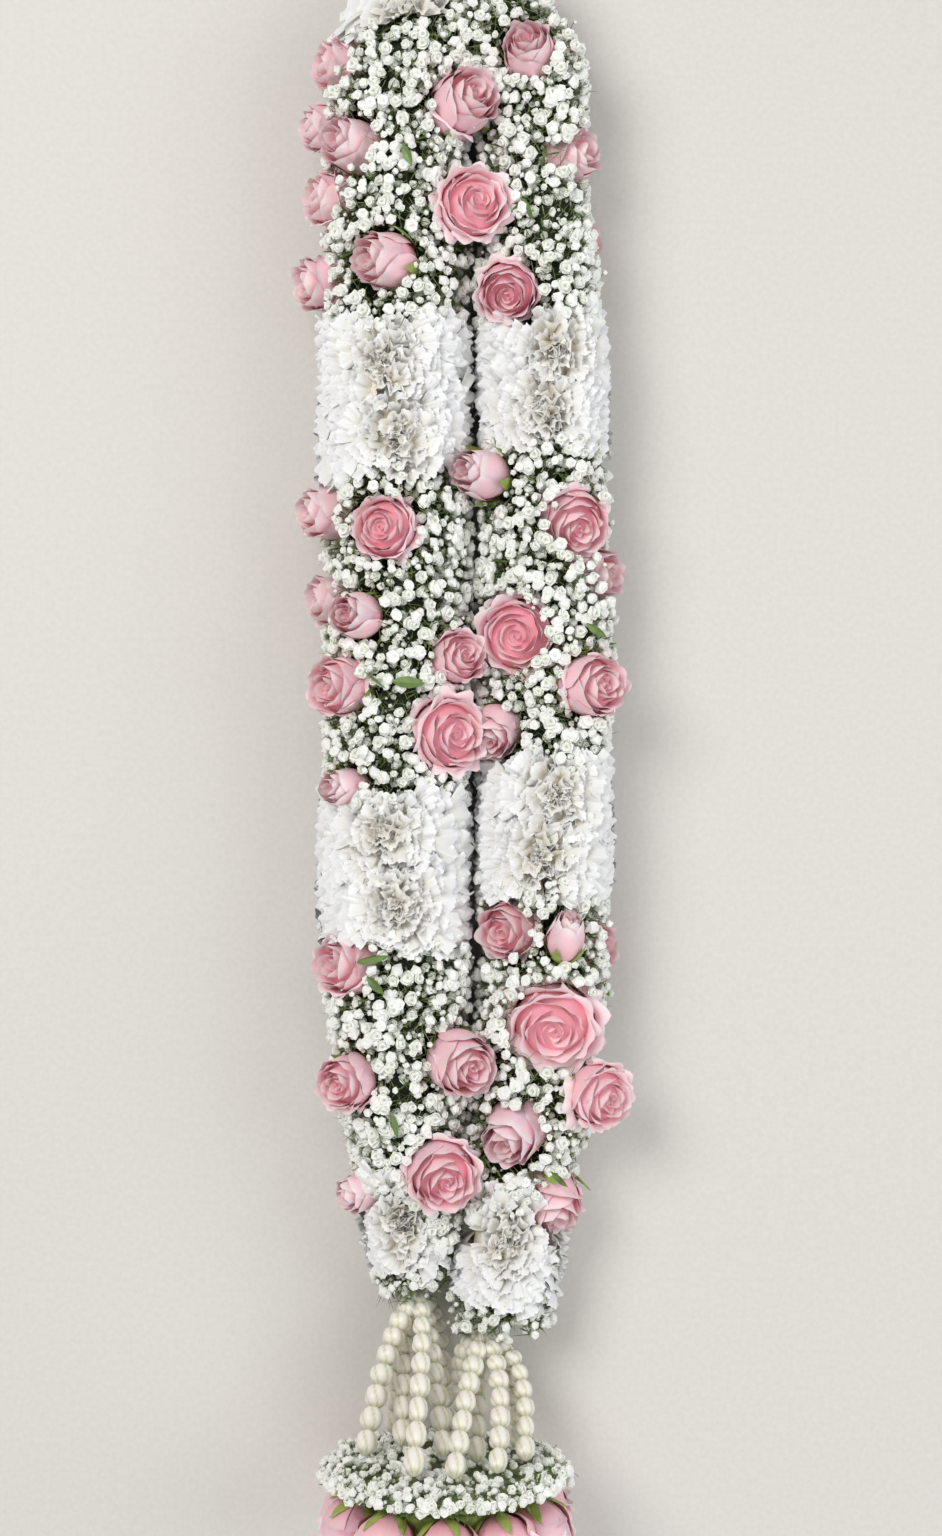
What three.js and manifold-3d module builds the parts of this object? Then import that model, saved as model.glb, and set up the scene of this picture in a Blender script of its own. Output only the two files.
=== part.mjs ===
// A fresh flower lei, laid out flat. Two flower-wrapped strands lie side by side, bend into each
// other at the neck and meet at the foot, where twelve strings of jasmine buds lead to a round pendant
// of baby's breath and roses. Baby's breath covers the strands, with pink roses set into it and bands
// of white carnations between. +Z is up, the foot points along -Y, and all sizes are millimetres.

import * as THREE from "three";
import { mergeVertices } from "three/addons/utils/BufferGeometryUtils.js";
import Module from "manifold-3d";

const wasm = await Module();
wasm.setup();

// ---------------------------------------------------------------- driving dimensions

const GAP = 0.35; // clearance between pieces that touch
const SLIVER = 0.03; // edges shorter than this, left by a cut, are closed up
const CORD_RADIUS = 5;
const NECK_Y = 404; // the straight strands end here and the neck bend begins
const BEND_X = 5.5; // middle of the neck bend
const BEND_RADIUS = 49.5; // of the strands' own centrelines round the neck
const BEND_EYE = 4; // left free of flowers round the middle of the bend
const NECK_RADIUS = 46.5; // of the flower sleeve at the top of the neck
const PRESSED = 2; // how far the soft underside is pressed flat by its own weight

// Each strand's centreline: [distance down from the neck bend, x, sleeve radius].
const STRANDS = {
  left: {
    side: -1,
    stations: [[0, -44, 48], [550, -44, 48], [626, -40, 43], [688, -35, 35], [760, -30, 28]],
  },
  right: {
    side: 1,
    stations: [[0, 55, 45], [550, 55, 45], [626, 45, 42], [688, 35, 38], [760, 26, 35]],
  },
};

// Where each band starts and ends, as distances down from the neck bend. Below 0 is on the bend.
const NECK_EDGE = -56;
const BANDS = {
  left: {
    gypsophila: { upper: [NECK_EDGE, 146], middle: [239, 436], lower: [527, 674], skirt: [730, 746] },
    carnations: { upper: [146, 239], lower: [436, 527], foot: [674, 730] },
  },
  right: {
    gypsophila: { upper: [NECK_EDGE, 140], middle: [218, 413], lower: [494, 687], skirt: [750, 768] },
    carnations: { upper: [140, 218], lower: [413, 494], foot: [687, 750] },
  },
};

const FLORET_ROW = 15; // from one row of the florets' lattice to the next
const FLORET_DEPTH = 12; // from a floret's tip down to the green between

const PENDANT = { x: -10, y: -437, z: 84, padRadius: 52, padThick: 5 };

// The strings of jasmine buds under each foot: where they are tied, and for each string the x and z of
// its top, the direction and the distance from the pendant's middle where it ends, and its buds' radius.
const STRINGS = {
  left: {
    tie: { x: -27, z: 28 },
    buds: 9,
    paths: [
      [-36, 34, 172, 50, 6.6],
      [-25, 42, 112, 50, 5.6],
      [-24, 30, 97, 9, 5.4],
      [-32, 18, 207, 31, 5.4],
      [-20, 16, 270, 45, 5.2],
      [-36, 22, 228, 48, 5.4],
    ],
  },
  right: {
    tie: { x: 13, z: 36 },
    buds: 8,
    paths: [
      [9, 52, 84, 50, 6.0],
      [20, 48, 52, 50, 5.6],
      [28, 38, 18, 50, 5.6],
      [12, 34, 45, 26, 5.4],
      [2, 30, -75, 48, 5.4],
      [24, 26, -10, 45, 5.4],
    ],
  },
};
const THREAD_RADIUS = 1.8;
const STRING_FLARE = 1.9; // how far the curves' first handles lie beyond the strings' tops
const STRING_DROP = 12; // of those handles below the knot
const STRING_SAG = 4;
const FIRST_BUD = 0.7; // its size against the others'
const TIE_RADIUS = 5;

// The picture that the roses' places were read from looks straight down on the lei.
const PICTURE = { middleX: 471, middleY: 768, x: 5.3, y: -14.4, plane: 47, distance: 1400, mmPerPixel: 0.625 };

// Roses: name, place in the picture, width in mm, how open (0 a bud, 1 full), the way the face looks
// (x right, y up the picture; the rest points at the viewer), and for roses on an inner or outer flank
// the height above the strand's axis.
const ROSES = [
  ["upper_left_1", 341, 72, 37, 0.6, -0.9, 0.1, 4],
  ["upper_left_2", 325, 130, 34, 0.5, -0.93, 0, -6],
  ["upper_left_3", 353, 149, 38, 0.4, -0.8, 0.1],
  ["upper_left_4", 331, 202, 37, 0.6, -0.9, 0.1, 2],
  ["upper_left_5", 388, 261, 39, 0.4, -0.8, -0.05],
  ["upper_left_6", 321, 285, 37, 0.6, -0.9, -0.1, -2],
  ["upper_left_7", 461, 106, 41, 0.5, 0.55, 0.2, 25],
  ["upper_left_8", 468, 206, 44, 0.8, 0.35, 0, 27],
  ["upper_right_1", 529, 57, 37, 0.4, -0.1, 0.7],
  ["upper_right_2", 571, 159, 35, 0.5, 0.85, 0, 10],
  ["upper_right_3", 507, 289, 40, 0.6, 0, -0.45],
  ["upper_right_4", 588, 70, 36, 0.6, 0.85, 0.1, -16],
  ["upper_right_5", 592, 245, 36, 0.6, 0.85, 0.1, -20],
  ["middle_left_1", 324, 514, 35, 0.5, -0.93, 0, 2],
  ["middle_left_2", 389, 528, 42, 0.7, -0.25, -0.05],
  ["middle_left_3", 331, 602, 37, 0.5, -0.95, 0, -8],
  ["middle_left_4", 360, 614, 29, 0.3, -0.6, 0],
  ["middle_left_5", 339, 685, 39, 0.6, -0.75, -0.1, 20],
  ["middle_left_6", 448, 734, 47, 0.9, 0.4, 0.05, 24],
  ["middle_left_7", 461, 658, 30, 0.6, 0.3, 0, 22],
  ["middle_left_8", 339, 787, 27, 0.2, -0.7, -0.2, 22],
  ["middle_right_1", 485, 477, 31, 0.3, -0.7, 0.1, 22],
  ["middle_right_2", 573, 520, 47, 0.8, 0.2, -0.5],
  ["middle_right_3", 594, 577, 36, 0.5, 0.95, 0, -4],
  ["middle_right_4", 518, 632, 50, 1, -0.1, -0.25],
  ["middle_right_5", 588, 689, 41, 0.7, 0.6, 0.1, 26],
  ["middle_right_6", 498, 732, 29, 0.2, -0.3, -0.4, 18],
  ["lower_left_1", 346, 966, 42, 0.7, -0.65, 0.2, 20],
  ["lower_left_2", 353, 1081, 37, 0.7, -0.45, -0.1, 24],
  ["lower_left_3", 460, 1060, 40, 0.5, 0.6, -0.15, 22],
  ["lower_left_4", 364, 1188, 28, 0.4, -0.85, -0.4, 6],
  ["lower_left_5", 445, 1174, 46, 0.8, 0.15, -0.4, 24],
  ["lower_right_1", 510, 929, 40, 0.6, -0.45, -0.1],
  ["lower_right_2", 562, 934, 23, 0, 0.1, -0.75],
  ["lower_right_3", 554, 1021, 56, 1, 0.05, -0.5],
  ["lower_right_4", 594, 1093, 39, 0.8, 0.6, -0.2, 22],
  ["lower_right_5", 515, 1131, 42, 0.5, -0.3, -0.5],
  ["lower_right_6", 552, 1201, 39, 0.6, 0.3, -0.75],
  ["lower_right_7", 600, 945, 34, 0.6, 0.8, 0, -14],
];
const ROSE_STANDS_OUT = 7; // beyond the baby's breath round it

const MATERIALS = {
  rose: new THREE.MeshStandardMaterial({ color: 0xf0a3b4, roughness: 0.6, metalness: 0 }),
  carnation: new THREE.MeshStandardMaterial({ color: 0xf3f0e8, roughness: 0.7, metalness: 0 }),
  gypsophila: new THREE.MeshStandardMaterial({ color: 0xc9d2bd, roughness: 0.75, metalness: 0 }),
  jasmine: new THREE.MeshStandardMaterial({ color: 0xece6cf, roughness: 0.45, metalness: 0 }),
  cord: new THREE.MeshStandardMaterial({ color: 0xd8cdb4, roughness: 0.9, metalness: 0 }),
  pad: new THREE.MeshStandardMaterial({ color: 0x6d7b4e, roughness: 0.9, metalness: 0 }),
};

// ---------------------------------------------------------------- small helpers

const V = (x, y, z) => new THREE.Vector3(x, y, z);
const UP = V(0, 0, 1);
const FAR = 900; // past everything
const mod = (a, n) => ((a % n) + n) % n;
const radians = THREE.MathUtils.degToRad;

// The same pseudo-random number, 0 to 1, for the same two inputs.
function draw(a, b) {
  const s = Math.sin(a * 127.1 + b * 311.7) * 43758.5453;
  return s - Math.floor(s);
}

// A closed solid from a geometry, turned to face outwards.
function solidOf(geometry) {
  const merged = mergeVertices(geometry, 1e-4);
  const vertProperties = merged.attributes.position.array;
  const triVerts = new Uint32Array(merged.index.array);
  const made = new wasm.Manifold(new wasm.Mesh({ numProp: 3, vertProperties, triVerts }));
  if (made.volume() > 0) return made;
  for (let i = 0; i < triVerts.length; i += 3)
    [triVerts[i + 1], triVerts[i + 2]] = [triVerts[i + 2], triVerts[i + 1]];
  return new wasm.Manifold(new wasm.Mesh({ numProp: 3, vertProperties, triVerts }));
}

function geometryOf(solid) {
  const mesh = solid.getMesh();
  const geometry = new THREE.BufferGeometry();
  const positions = new THREE.Float32BufferAttribute(mesh.vertProperties, 3);
  geometry.setAttribute("position", positions);
  geometry.setIndex(new THREE.BufferAttribute(mesh.triVerts, 1));
  return geometry;
}

// Rings of equally many points, closed by a point at each end. Where staggered is true, odd rings are
// turned half a step, which makes the faces even triangles.
function ringSolid(first, rings, last, staggered = false) {
  const n = rings[0].length;
  const points = [first, ...rings.flat(), last];
  const at = (i, j) => 1 + i * n + mod(j, n);
  const end = points.length - 1;
  const faces = [];
  for (let j = 0; j < n; j++) {
    faces.push(0, at(0, j + 1), at(0, j));
    faces.push(end, at(rings.length - 1, j), at(rings.length - 1, j + 1));
  }
  for (let i = 0; i + 1 < rings.length; i++) {
    for (let j = 0; j < n; j++) {
      const [a, b, c, d] = [at(i, j), at(i, j + 1), at(i + 1, j), at(i + 1, j + 1)];
      if (staggered && i % 2 === 1) faces.push(a, b, d, a, d, c);
      else faces.push(a, b, c, b, d, c);
    }
  }
  const geometry = new THREE.BufferGeometry().setFromPoints(points);
  geometry.setIndex(faces);
  return solidOf(geometry);
}

function boxSolid(low, high) {
  const box = new THREE.BoxGeometry(...high.clone().sub(low).toArray());
  box.deleteAttribute("normal");
  box.deleteAttribute("uv");
  const middle = low.clone().add(high).multiplyScalar(0.5);
  return solidOf(box.translate(...middle.toArray()));
}

// The largest body of a solid, without loose scraps.
function largest(solid) {
  const bodies = solid.decompose();
  return bodies.reduce((a, b) => (b.volume() > a.volume() ? b : a));
}

// ---------------------------------------------------------------- the strands' centrelines

function station(strand, s) {
  const list = STRANDS[strand].stations;
  const along = THREE.MathUtils.clamp(s, list[0][0], list[list.length - 1][0]);
  const i = Math.max(1, list.findIndex((row) => row[0] >= along));
  const t = (along - list[i - 1][0]) / (list[i][0] - list[i - 1][0]);
  return list[i].map((value, k) => list[i - 1][k] + t * (value - list[i - 1][k]));
}

// Centre, direction down the strand, direction out from the lei's middle, and sleeve radius at s.
function frameAt(strand, s) {
  const { side } = STRANDS[strand];
  if (s < 0) {
    const a = -s / BEND_RADIUS;
    const share = a / (Math.PI / 2);
    const radius = THREE.MathUtils.lerp(station(strand, 0)[2], NECK_RADIUS, share);
    const out = V(side * Math.cos(a), Math.sin(a), 0);
    const centre = out.clone().multiplyScalar(BEND_RADIUS).add(V(BEND_X, NECK_Y, radius - PRESSED));
    return { centre, down: V(side * Math.sin(a), -Math.cos(a), 0), out, radius };
  }
  const [, x, radius] = station(strand, s);
  const step = 4;
  const slope = (station(strand, s + step)[1] - station(strand, Math.max(0, s - step))[1]) / (2 * step);
  const down = V(slope, -1, 0).normalize();
  const out = V(-down.y, down.x, 0).multiplyScalar(side);
  return { centre: V(x, NECK_Y - s, radius - PRESSED), down, out, radius };
}

// The distance down the strand, and the distance out from its axis, of a point seen from above.
function onStrand(strand, point) {
  const { side } = STRANDS[strand];
  if (point.y <= NECK_Y) {
    const s = NECK_Y - point.y;
    return { s, across: (point.x - frameAt(strand, s).centre.x) * side };
  }
  const dx = (point.x - BEND_X) * side;
  const dy = point.y - NECK_Y;
  return { s: -Math.atan2(dy, dx) * BEND_RADIUS, across: Math.hypot(dx, dy) - BEND_RADIUS };
}

// The point at height z that the picture shows at a pixel.
function seen(px, py, z) {
  const near = (PICTURE.distance - (z - PICTURE.plane)) / PICTURE.distance;
  const scale = PICTURE.mmPerPixel * near;
  return V(PICTURE.x + (px - PICTURE.middleX) * scale, PICTURE.y - (py - PICTURE.middleY) * scale, z);
}

// ---------------------------------------------------------------- roses

// Profile of a rose from its stem to its heart: [radius, height, petal wave, turn], as shares of the
// half width, the height, the half width and a petal's angle. The rims are the petals' layers, with a
// furrow behind each.
const ROSE_PROFILE = [
  [0.34, 0.05, 0, 0.5],
  [0.74, 0.34, 0.02, 0.5],
  [1.0, 0.74, 0.09, 0],
  [0.74, 0.66, 0, 0.5],
  [0.62, 0.97, 0.07, 0],
  [0.42, 0.8, 0, 0.5],
  [0.26, 1.0, 0.05, 0],
];
const SMALL_ROSE_PROFILE = ROSE_PROFILE.filter((row, layer) => layer !== 1 && layer !== 5);
const ROSE_OUTSIDE = [[0.54, -0.02, 0, 0], [1.13, 0.72, 0, 0], [0.86, 1.12, 0, 0]];
const ROSE_HEART = 0.88;
const POCKET_GAP = GAP + 0.4; // round a rose, as its petals' rims aren't round

const roseHeight = (width, open) => width * (1.42 - 0.5 * open);

// A frame whose third axis looks along face.
function facing(face, at) {
  const z = face.clone().normalize();
  const x = (Math.abs(z.z) > 0.95 ? V(1, 0, 0) : UP.clone()).cross(z).normalize();
  const y = z.clone().cross(x);
  return new THREE.Matrix4().makeBasis(x, y, z).setPosition(at);
}

function roseRings(width, open, seed, profile, sides, grow = 0) {
  const height = roseHeight(width, open);
  return profile.map(([r, h, wave, turn], layer) => {
    const spread = r === 1 ? 0.82 + 0.18 * open : 1;
    const ring = [];
    for (let j = 0; j < sides; j++) {
      const angle = ((j + turn + 0.3 * seed) / sides) * Math.PI * 2;
      const lift = wave * (j % 2 === 0 ? 1 : -0.6) + 0.05 * (draw(seed + layer, j) - 0.5);
      const radius = (r * spread + 0.4 * lift) * (width / 2) + grow;
      const up = height * (h + lift * 0.6) + grow * (h - 0.5);
      ring.push(V(radius * Math.cos(angle), radius * Math.sin(angle), up));
    }
    return ring;
  });
}

function roseSolid(width, open, seed, profile = ROSE_PROFILE, sides = 7) {
  const heart = V(0, 0, roseHeight(width, open) * ROSE_HEART);
  return ringSolid(V(0, 0, 0), roseRings(width, open, seed, profile, sides), heart);
}

// The room a rose needs: its outside without the furrows, a gap wider all round.
function rosePocket(width, open, seed) {
  const rings = roseRings(width, open, seed, ROSE_OUTSIDE, 7, POCKET_GAP);
  return ringSolid(V(0, 0, -2), rings, V(0, 0, roseHeight(width, open) * 1.16));
}

// A rose's frame: its middle is where the picture shows it, its face looks the way it is listed.
function placeRose([name, px, py, width, open, faceX, faceY, rise]) {
  const strand = name.includes("left") ? "left" : "right";
  const face = V(faceX, faceY, Math.sqrt(Math.max(0.02, 1 - faceX * faceX - faceY * faceY))).normalize();
  const height = roseHeight(width, open);
  let middle = seen(px, py, PICTURE.plane);
  for (let k = 0; k < 5; k++) {
    const { s, across } = onStrand(strand, middle);
    const { centre, out, radius } = frameAt(strand, s);
    const straightOut = middle.clone().sub(centre).normalize();
    const leans = Math.abs(face.dot(k ? straightOut : out));
    const reach = (height / 2) * leans + (width / 2) * 0.8 * Math.sqrt(1 - leans * leans);
    const fromAxis = radius + ROSE_STANDS_OUT - reach;
    const lift = rise ?? Math.sqrt(Math.max(0, fromAxis * fromAxis - across * across));
    middle = seen(px, py, centre.z + lift);
  }
  const foot = middle.clone().addScaledVector(face, -height / 2);
  return { name, width, open, middle, frame: facing(face, foot) };
}

const roses = ROSES.map(placeRose).map((rose, seed) => ({
  ...rose,
  solid: roseSolid(rose.width, rose.open, seed, rose.width < 38 ? SMALL_ROSE_PROFILE : ROSE_PROFILE)
    .transform(rose.frame.elements),
  pocket: rosePocket(rose.width, rose.open, seed).transform(rose.frame.elements),
}));

// ---------------------------------------------------------------- the flowers' lattice

// Flowers are raised from a lattice of even triangles wrapped round a strand, whose odd rows are
// turned half a step.
const COLUMNS = 24;

const latticeAngle = (i, j) => ((j + (i % 2) / 2) / COLUMNS) * Math.PI * 2;

// A sleeve over the lattice: frame(i, j) is the strand's frame at a lattice point and reach(i, j, tip)
// its distance from the axis, where tip is the point on the sleeve's nominal surface.
function sleeve(rows, frame, reach, jitter = 0) {
  const rings = [];
  for (let i = 0; i <= rows; i++) {
    const ring = [];
    for (let j = 0; j < COLUMNS; j++) {
      const { centre, out, radius } = frame(i, j);
      const angle = latticeAngle(i, j) + (jitter * (draw(j, i) - 0.5) * Math.PI * 2) / COLUMNS;
      const direction = out.clone().multiplyScalar(Math.cos(angle)).addScaledVector(UP, Math.sin(angle));
      const tip = centre.clone().addScaledVector(direction, radius);
      const inwards = Math.max(0.01, -Math.cos(angle));
      const room = centre.y > NECK_Y ? (BEND_RADIUS - BEND_EYE) / inwards : FAR;
      ring.push(centre.clone().addScaledVector(direction, Math.min(room, reach(i, j, radius, tip))));
    }
    rings.push(ring);
  }
  return ringSolid(frame(0, 0).centre, rings, frame(rows, 0).centre, true);
}

// ---------------------------------------------------------------- baby's breath

const nearRose = (point, clear) => roses.some((r) => r.middle.distanceTo(point) < r.width / 2 + clear);

// Which points of the lattice are florets: no two of them are neighbours.
const isFloret = (i, j) => mod(j - (i - (i % 2)) / 2 - i, 3) === 0;

// How far a floret strays from its place in the lattice: along the strand in mm, round it as a share of
// a column, and below the sleeve's radius in mm.
const STRAY = { along: 3.4, round: 0.3, deep: 3.6 };

// Baby's breath round a strand from s0 to s1. A floret stands out to the sleeve's radius, and the
// green between lies deeper. Under a rose the florets are left out.
function gypsophila(strand, [s0, s1], seed) {
  const rows = Math.max(2, Math.round((s1 - s0) / FLORET_ROW));
  const frame = (i, j) => {
    const wander = i === 0 || i === rows ? 0 : STRAY.along * (draw(i + seed, j) - 0.5);
    return frameAt(strand, s0 + ((s1 - s0) * i) / rows + wander);
  };
  const reach = (i, j, radius, tip) =>
    isFloret(i, j) && !nearRose(tip, 1)
      ? radius - STRAY.deep * draw(i, j + seed)
      : radius - FLORET_DEPTH + 2 * (draw(j + seed, i) - 0.5);
  return sleeve(rows, frame, reach, STRAY.round);
}

// Baby's breath over the pendant: rows of florets from the middle out, over the rim and under it, as
// [radius, distance up the lei from the pendant's middle].
const PENDANT_ROWS = [[22, 6], [36, 6], [50, 5], [63, 4], [74, 2], [80, -3], [76, -9], [60, -11]];
const PENDANT_DEPTH = 7; // of the green below the florets' tips

function gypsophilaPendant() {
  const centre = V(PENDANT.x, PENDANT.y, PENDANT.z);
  const rings = PENDANT_ROWS.map(([radius, forward], i) => {
    const onRim = i > 4;
    const ring = [];
    for (let j = 0; j < COLUMNS; j++) {
      const angle = latticeAngle(i, j);
      const low = isFloret(i, j) || i === PENDANT_ROWS.length - 1 ? 0 : PENDANT_DEPTH;
      const round = radius - (onRim ? low : 0) - 1.5 * draw(i, j);
      ring.push(V(round * Math.cos(angle), forward - (onRim ? 0 : low), round * Math.sin(angle)).add(centre));
    }
    return ring;
  });
  const back = V(0, PENDANT_ROWS[PENDANT_ROWS.length - 1][1], 0).add(centre);
  return ringSolid(centre, rings, back, true);
}

// ---------------------------------------------------------------- carnations

const HEAD_STEPS = 6; // lattice steps from one carnation to the next round a strand
const CARNATION_PROUD = 2; // beyond the baby's breath beside them

// How far the surface lies below a carnation's outside, by lattice steps from its heart: the heart,
// then two rounds of petals, in which some points stand up and some lie back, as a frilled edge does.
const PETAL_ROUNDS = [{ up: 4, back: 4 }, { up: 0, back: 6 }, { up: 2, back: 9 }];
const CREASE = 15; // between one carnation and the next

// Steps over the lattice from one of its points to another, the short way round the strand.
function latticeSteps(i0, j0, i1, j1) {
  const down = i1 - i0;
  const across = j1 - j0 - (i1 - (i1 % 2)) / 2 + (i0 - (i0 % 2)) / 2;
  const ways = [-COLUMNS, 0, COLUMNS].map((turn) => across + turn);
  return Math.min(...ways.map((a) => (Math.abs(a) + Math.abs(down) + Math.abs(a + down)) / 2));
}

// The hearts of one row of carnations, on lattice row i, the first at column j.
function heartRow(i, j) {
  const hearts = [];
  for (let k = 0; k < COLUMNS / HEAD_STEPS; k++) hearts.push([i, j + k * HEAD_STEPS]);
  return hearts;
}

const TWO_ROWS = [...heartRow(2, 0), ...heartRow(6, 1)];
const ONE_ROW = heartRow(2, 0);

function carnations(rows, hearts, frame, seed, taper = []) {
  const reach = (i, j, radius) => {
    const [near, next] = hearts.map((heart) => latticeSteps(i, j, ...heart)).sort((a, b) => a - b);
    const petals = PETAL_ROUNDS[near];
    const crease = !petals || (near === 2 && next <= 3);
    const drop = crease ? CREASE : (i + j) % 2 ? petals.up : petals.back;
    return (radius + CARNATION_PROUD) * (taper[i] ?? 1) - drop - 1.5 * draw(i + seed, j);
  };
  return sleeve(rows, frame, reach);
}

const BAND_ROWS = 8;

function carnationBand(strand, [s0, s1]) {
  const frame = (i) => frameAt(strand, s0 + ((s1 - s0) * i) / BAND_ROWS);
  return carnations(BAND_ROWS, TWO_ROWS, frame, s0);
}

// The last carnations of a strand, drawn in below so that they close it like a ball.
const FOOT_TAPER = [1, 1, 1, 1, 0.95, 0.72];

function carnationFoot(strand, [s0, s1]) {
  const rows = FOOT_TAPER.length - 1;
  const frame = (i) => frameAt(strand, s0 + ((s1 - s0) * i) / rows);
  return carnations(rows, ONE_ROW, frame, s0, FOOT_TAPER);
}

const NECK_ROWS = 4;

// One row of carnations over the neck bend, where the one strand goes over into the other.
function carnationNeck() {
  const half = (Math.PI / 2) * BEND_RADIUS + NECK_EDGE;
  const frame = (i) => {
    const past = ((2 * i) / NECK_ROWS - 1) * (half - GAP / 2);
    return frameAt(past < 0 ? "left" : "right", NECK_EDGE - half + Math.abs(past));
  };
  return carnations(NECK_ROWS, ONE_ROW, frame, 3);
}

// ---------------------------------------------------------------- cord, jasmine strings, pendant

function tubeRing(centre, across, lift, radius, sides) {
  const ring = [];
  for (let j = 0; j < sides; j++) {
    const angle = (j / sides) * Math.PI * 2;
    ring.push(centre.clone().addScaledVector(across, radius * Math.cos(angle))
      .addScaledVector(lift, radius * Math.sin(angle)));
  }
  return ring;
}

// The cotton cord through everything: up one strand, round the neck, down the other.
const CORD_ENDS = 728;
const CORD_STOPS = [0, 550, 626, 688];

function coreCord(radius, reach) {
  const quarter = (Math.PI / 2) * BEND_RADIUS;
  const down = [-quarter, -0.75 * quarter, -0.5 * quarter, -0.25 * quarter, ...CORD_STOPS, reach];
  const stops = [
    ...down.slice(1).reverse().map((s) => ["left", s]),
    ...down.map((s) => ["right", s]),
  ];
  const rings = stops.map(([strand, s]) => {
    const { centre, out } = frameAt(strand, s);
    return tubeRing(centre, out, UP, radius, 6);
  });
  return ringSolid(frameAt("left", reach + 1).centre, rings, frameAt("right", reach + 1).centre);
}

// Just over the pendant's florets, where the strings end.
const STRING_END = PENDANT.y + PENDANT_ROWS[0][1] + 2 * GAP;

// One string of buds: a curve that starts in the knot, spreads out under the foot, and sags a little on
// its way to the pendant. The first bud is a small one.
function jasmineString(knot, [topX, topZ, degrees, ring, budRadius], buds) {
  const a = radians(degrees);
  const spread = V(topX - knot.x, 0, topZ - knot.z).multiplyScalar(STRING_FLARE);
  const top = knot.clone().add(spread).add(V(0, -STRING_DROP, 0));
  const end = V(PENDANT.x + ring * Math.cos(a), STRING_END, PENDANT.z + ring * Math.sin(a));
  const low = top.clone().lerp(end, 0.5).add(V(0, 0, -STRING_SAG));
  const path = new THREE.CubicBezierCurve3(knot, top, low, end);
  const ringAt = (t, radius) => {
    const along = path.getTangent(t);
    const side = V(1, 0, 0).cross(along).normalize();
    return tubeRing(path.getPoint(t), side, along.clone().cross(side), radius, 4);
  };
  const rings = [];
  for (let k = 0; k < buds; k++) {
    const size = k === 0 ? FIRST_BUD : 0.95 + 0.1 * draw(degrees, k);
    if (k > 0) rings.push(ringAt(k / buds, THREAD_RADIUS));
    rings.push(ringAt((k + 0.5) / buds, budRadius * size));
  }
  return ringSolid(knot, rings, end);
}

// The strings under one foot, from a knot that touches the end of the strand's skirt.
function jasmineStrings(strand) {
  const { tie, buds, paths } = STRINGS[strand];
  const skirtEnd = NECK_Y - BANDS[strand].gypsophila.skirt[1];
  const knotAt = V(tie.x, skirtEnd - GAP - TIE_RADIUS, tie.z);
  const knot = new THREE.IcosahedronGeometry(TIE_RADIUS, 0);
  knot.deleteAttribute("normal");
  knot.deleteAttribute("uv");
  const strings = paths.map((path) => jasmineString(knotAt, path, buds));
  return wasm.Manifold.union([solidOf(knot.translate(...knotAt.toArray())), ...strings]);
}

const PAD_FACE = PENDANT.y + PENDANT_ROWS[PENDANT_ROWS.length - 1][1] - GAP;

// The card that the pendant is built on.
function pendantPad() {
  const disc = new THREE.CylinderGeometry(PENDANT.padRadius, PENDANT.padRadius, PENDANT.padThick, 14);
  disc.deleteAttribute("normal");
  disc.deleteAttribute("uv");
  return solidOf(disc.translate(PENDANT.x, PAD_FACE - PENDANT.padThick / 2, PENDANT.z));
}

// Rounds of roses under the pendant, which look outwards at its rim and down the lei in its middle:
// how many, how far out their stems start, how far they lean out in degrees, and their width.
const ROSE_ROUNDS = [
  { count: 10, ring: 50, lean: 26, width: 43, open: 0.5 },
  { count: 4, ring: 20, lean: 8, width: 41, open: 0.5 },
];

const ROSES_CORE = { radius: 50, flat: 0.55 }; // the ball of stems and leaves that they stand out of

function pendantRoses() {
  const stems = PAD_FACE - PENDANT.padThick;
  const core = new THREE.IcosahedronGeometry(ROSES_CORE.radius, 1);
  core.deleteAttribute("normal");
  core.deleteAttribute("uv");
  const heads = [solidOf(core.scale(1, ROSES_CORE.flat, 1).translate(PENDANT.x, stems, PENDANT.z))];
  for (const { count, ring, lean, width, open } of ROSE_ROUNDS) {
    for (let k = 0; k < count; k++) {
      const a = ((k + 0.5) / count) * Math.PI * 2;
      const spoke = V(Math.cos(a), 0, Math.sin(a));
      const face = V(0, -Math.cos(radians(lean)), 0).addScaledVector(spoke, Math.sin(radians(lean)));
      const foot = V(PENDANT.x, stems, PENDANT.z).addScaledVector(spoke, ring);
      const rose = roseSolid(width, open, k + ring, SMALL_ROSE_PROFILE, 6);
      heads.push(rose.transform(facing(face, foot).elements));
    }
  }
  return wasm.Manifold.union(heads);
}

// ---------------------------------------------------------------- putting it together

const lei = new THREE.Group();
const floor = boxSolid(V(-FAR, -FAR, -FAR), V(FAR, FAR, 0));
const behindPad = boxSolid(V(-FAR, -FAR, -FAR), V(FAR, PAD_FACE - PENDANT.padThick - GAP, FAR));

function add(name, solid, material) {
  const clean = largest(solid.simplify(SLIVER));
  const mesh = new THREE.Mesh(geometryOf(clean), MATERIALS[material]);
  mesh.name = name;
  lei.add(mesh);
}

// The room that the right strand's foot takes where it leans on the left one.
const LEANING = { stops: [640, 680, 720, 745, 772], clear: 4 * GAP, sides: 14 };

function rightFootRoom() {
  const rings = LEANING.stops.map((s) => {
    const { centre, out, radius } = frameAt("right", s);
    return tubeRing(centre, out, UP, radius + CARNATION_PROUD + LEANING.clear, LEANING.sides);
  });
  const [first, last] = [LEANING.stops[0], LEANING.stops[LEANING.stops.length - 1]];
  return ringSolid(frameAt("right", first).centre, rings, frameAt("right", last).centre);
}

const cordRoom = coreCord(CORD_RADIUS + GAP, CORD_ENDS + GAP);

const NEIGHBOURS = 60; // roses nearer than this may touch

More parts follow.
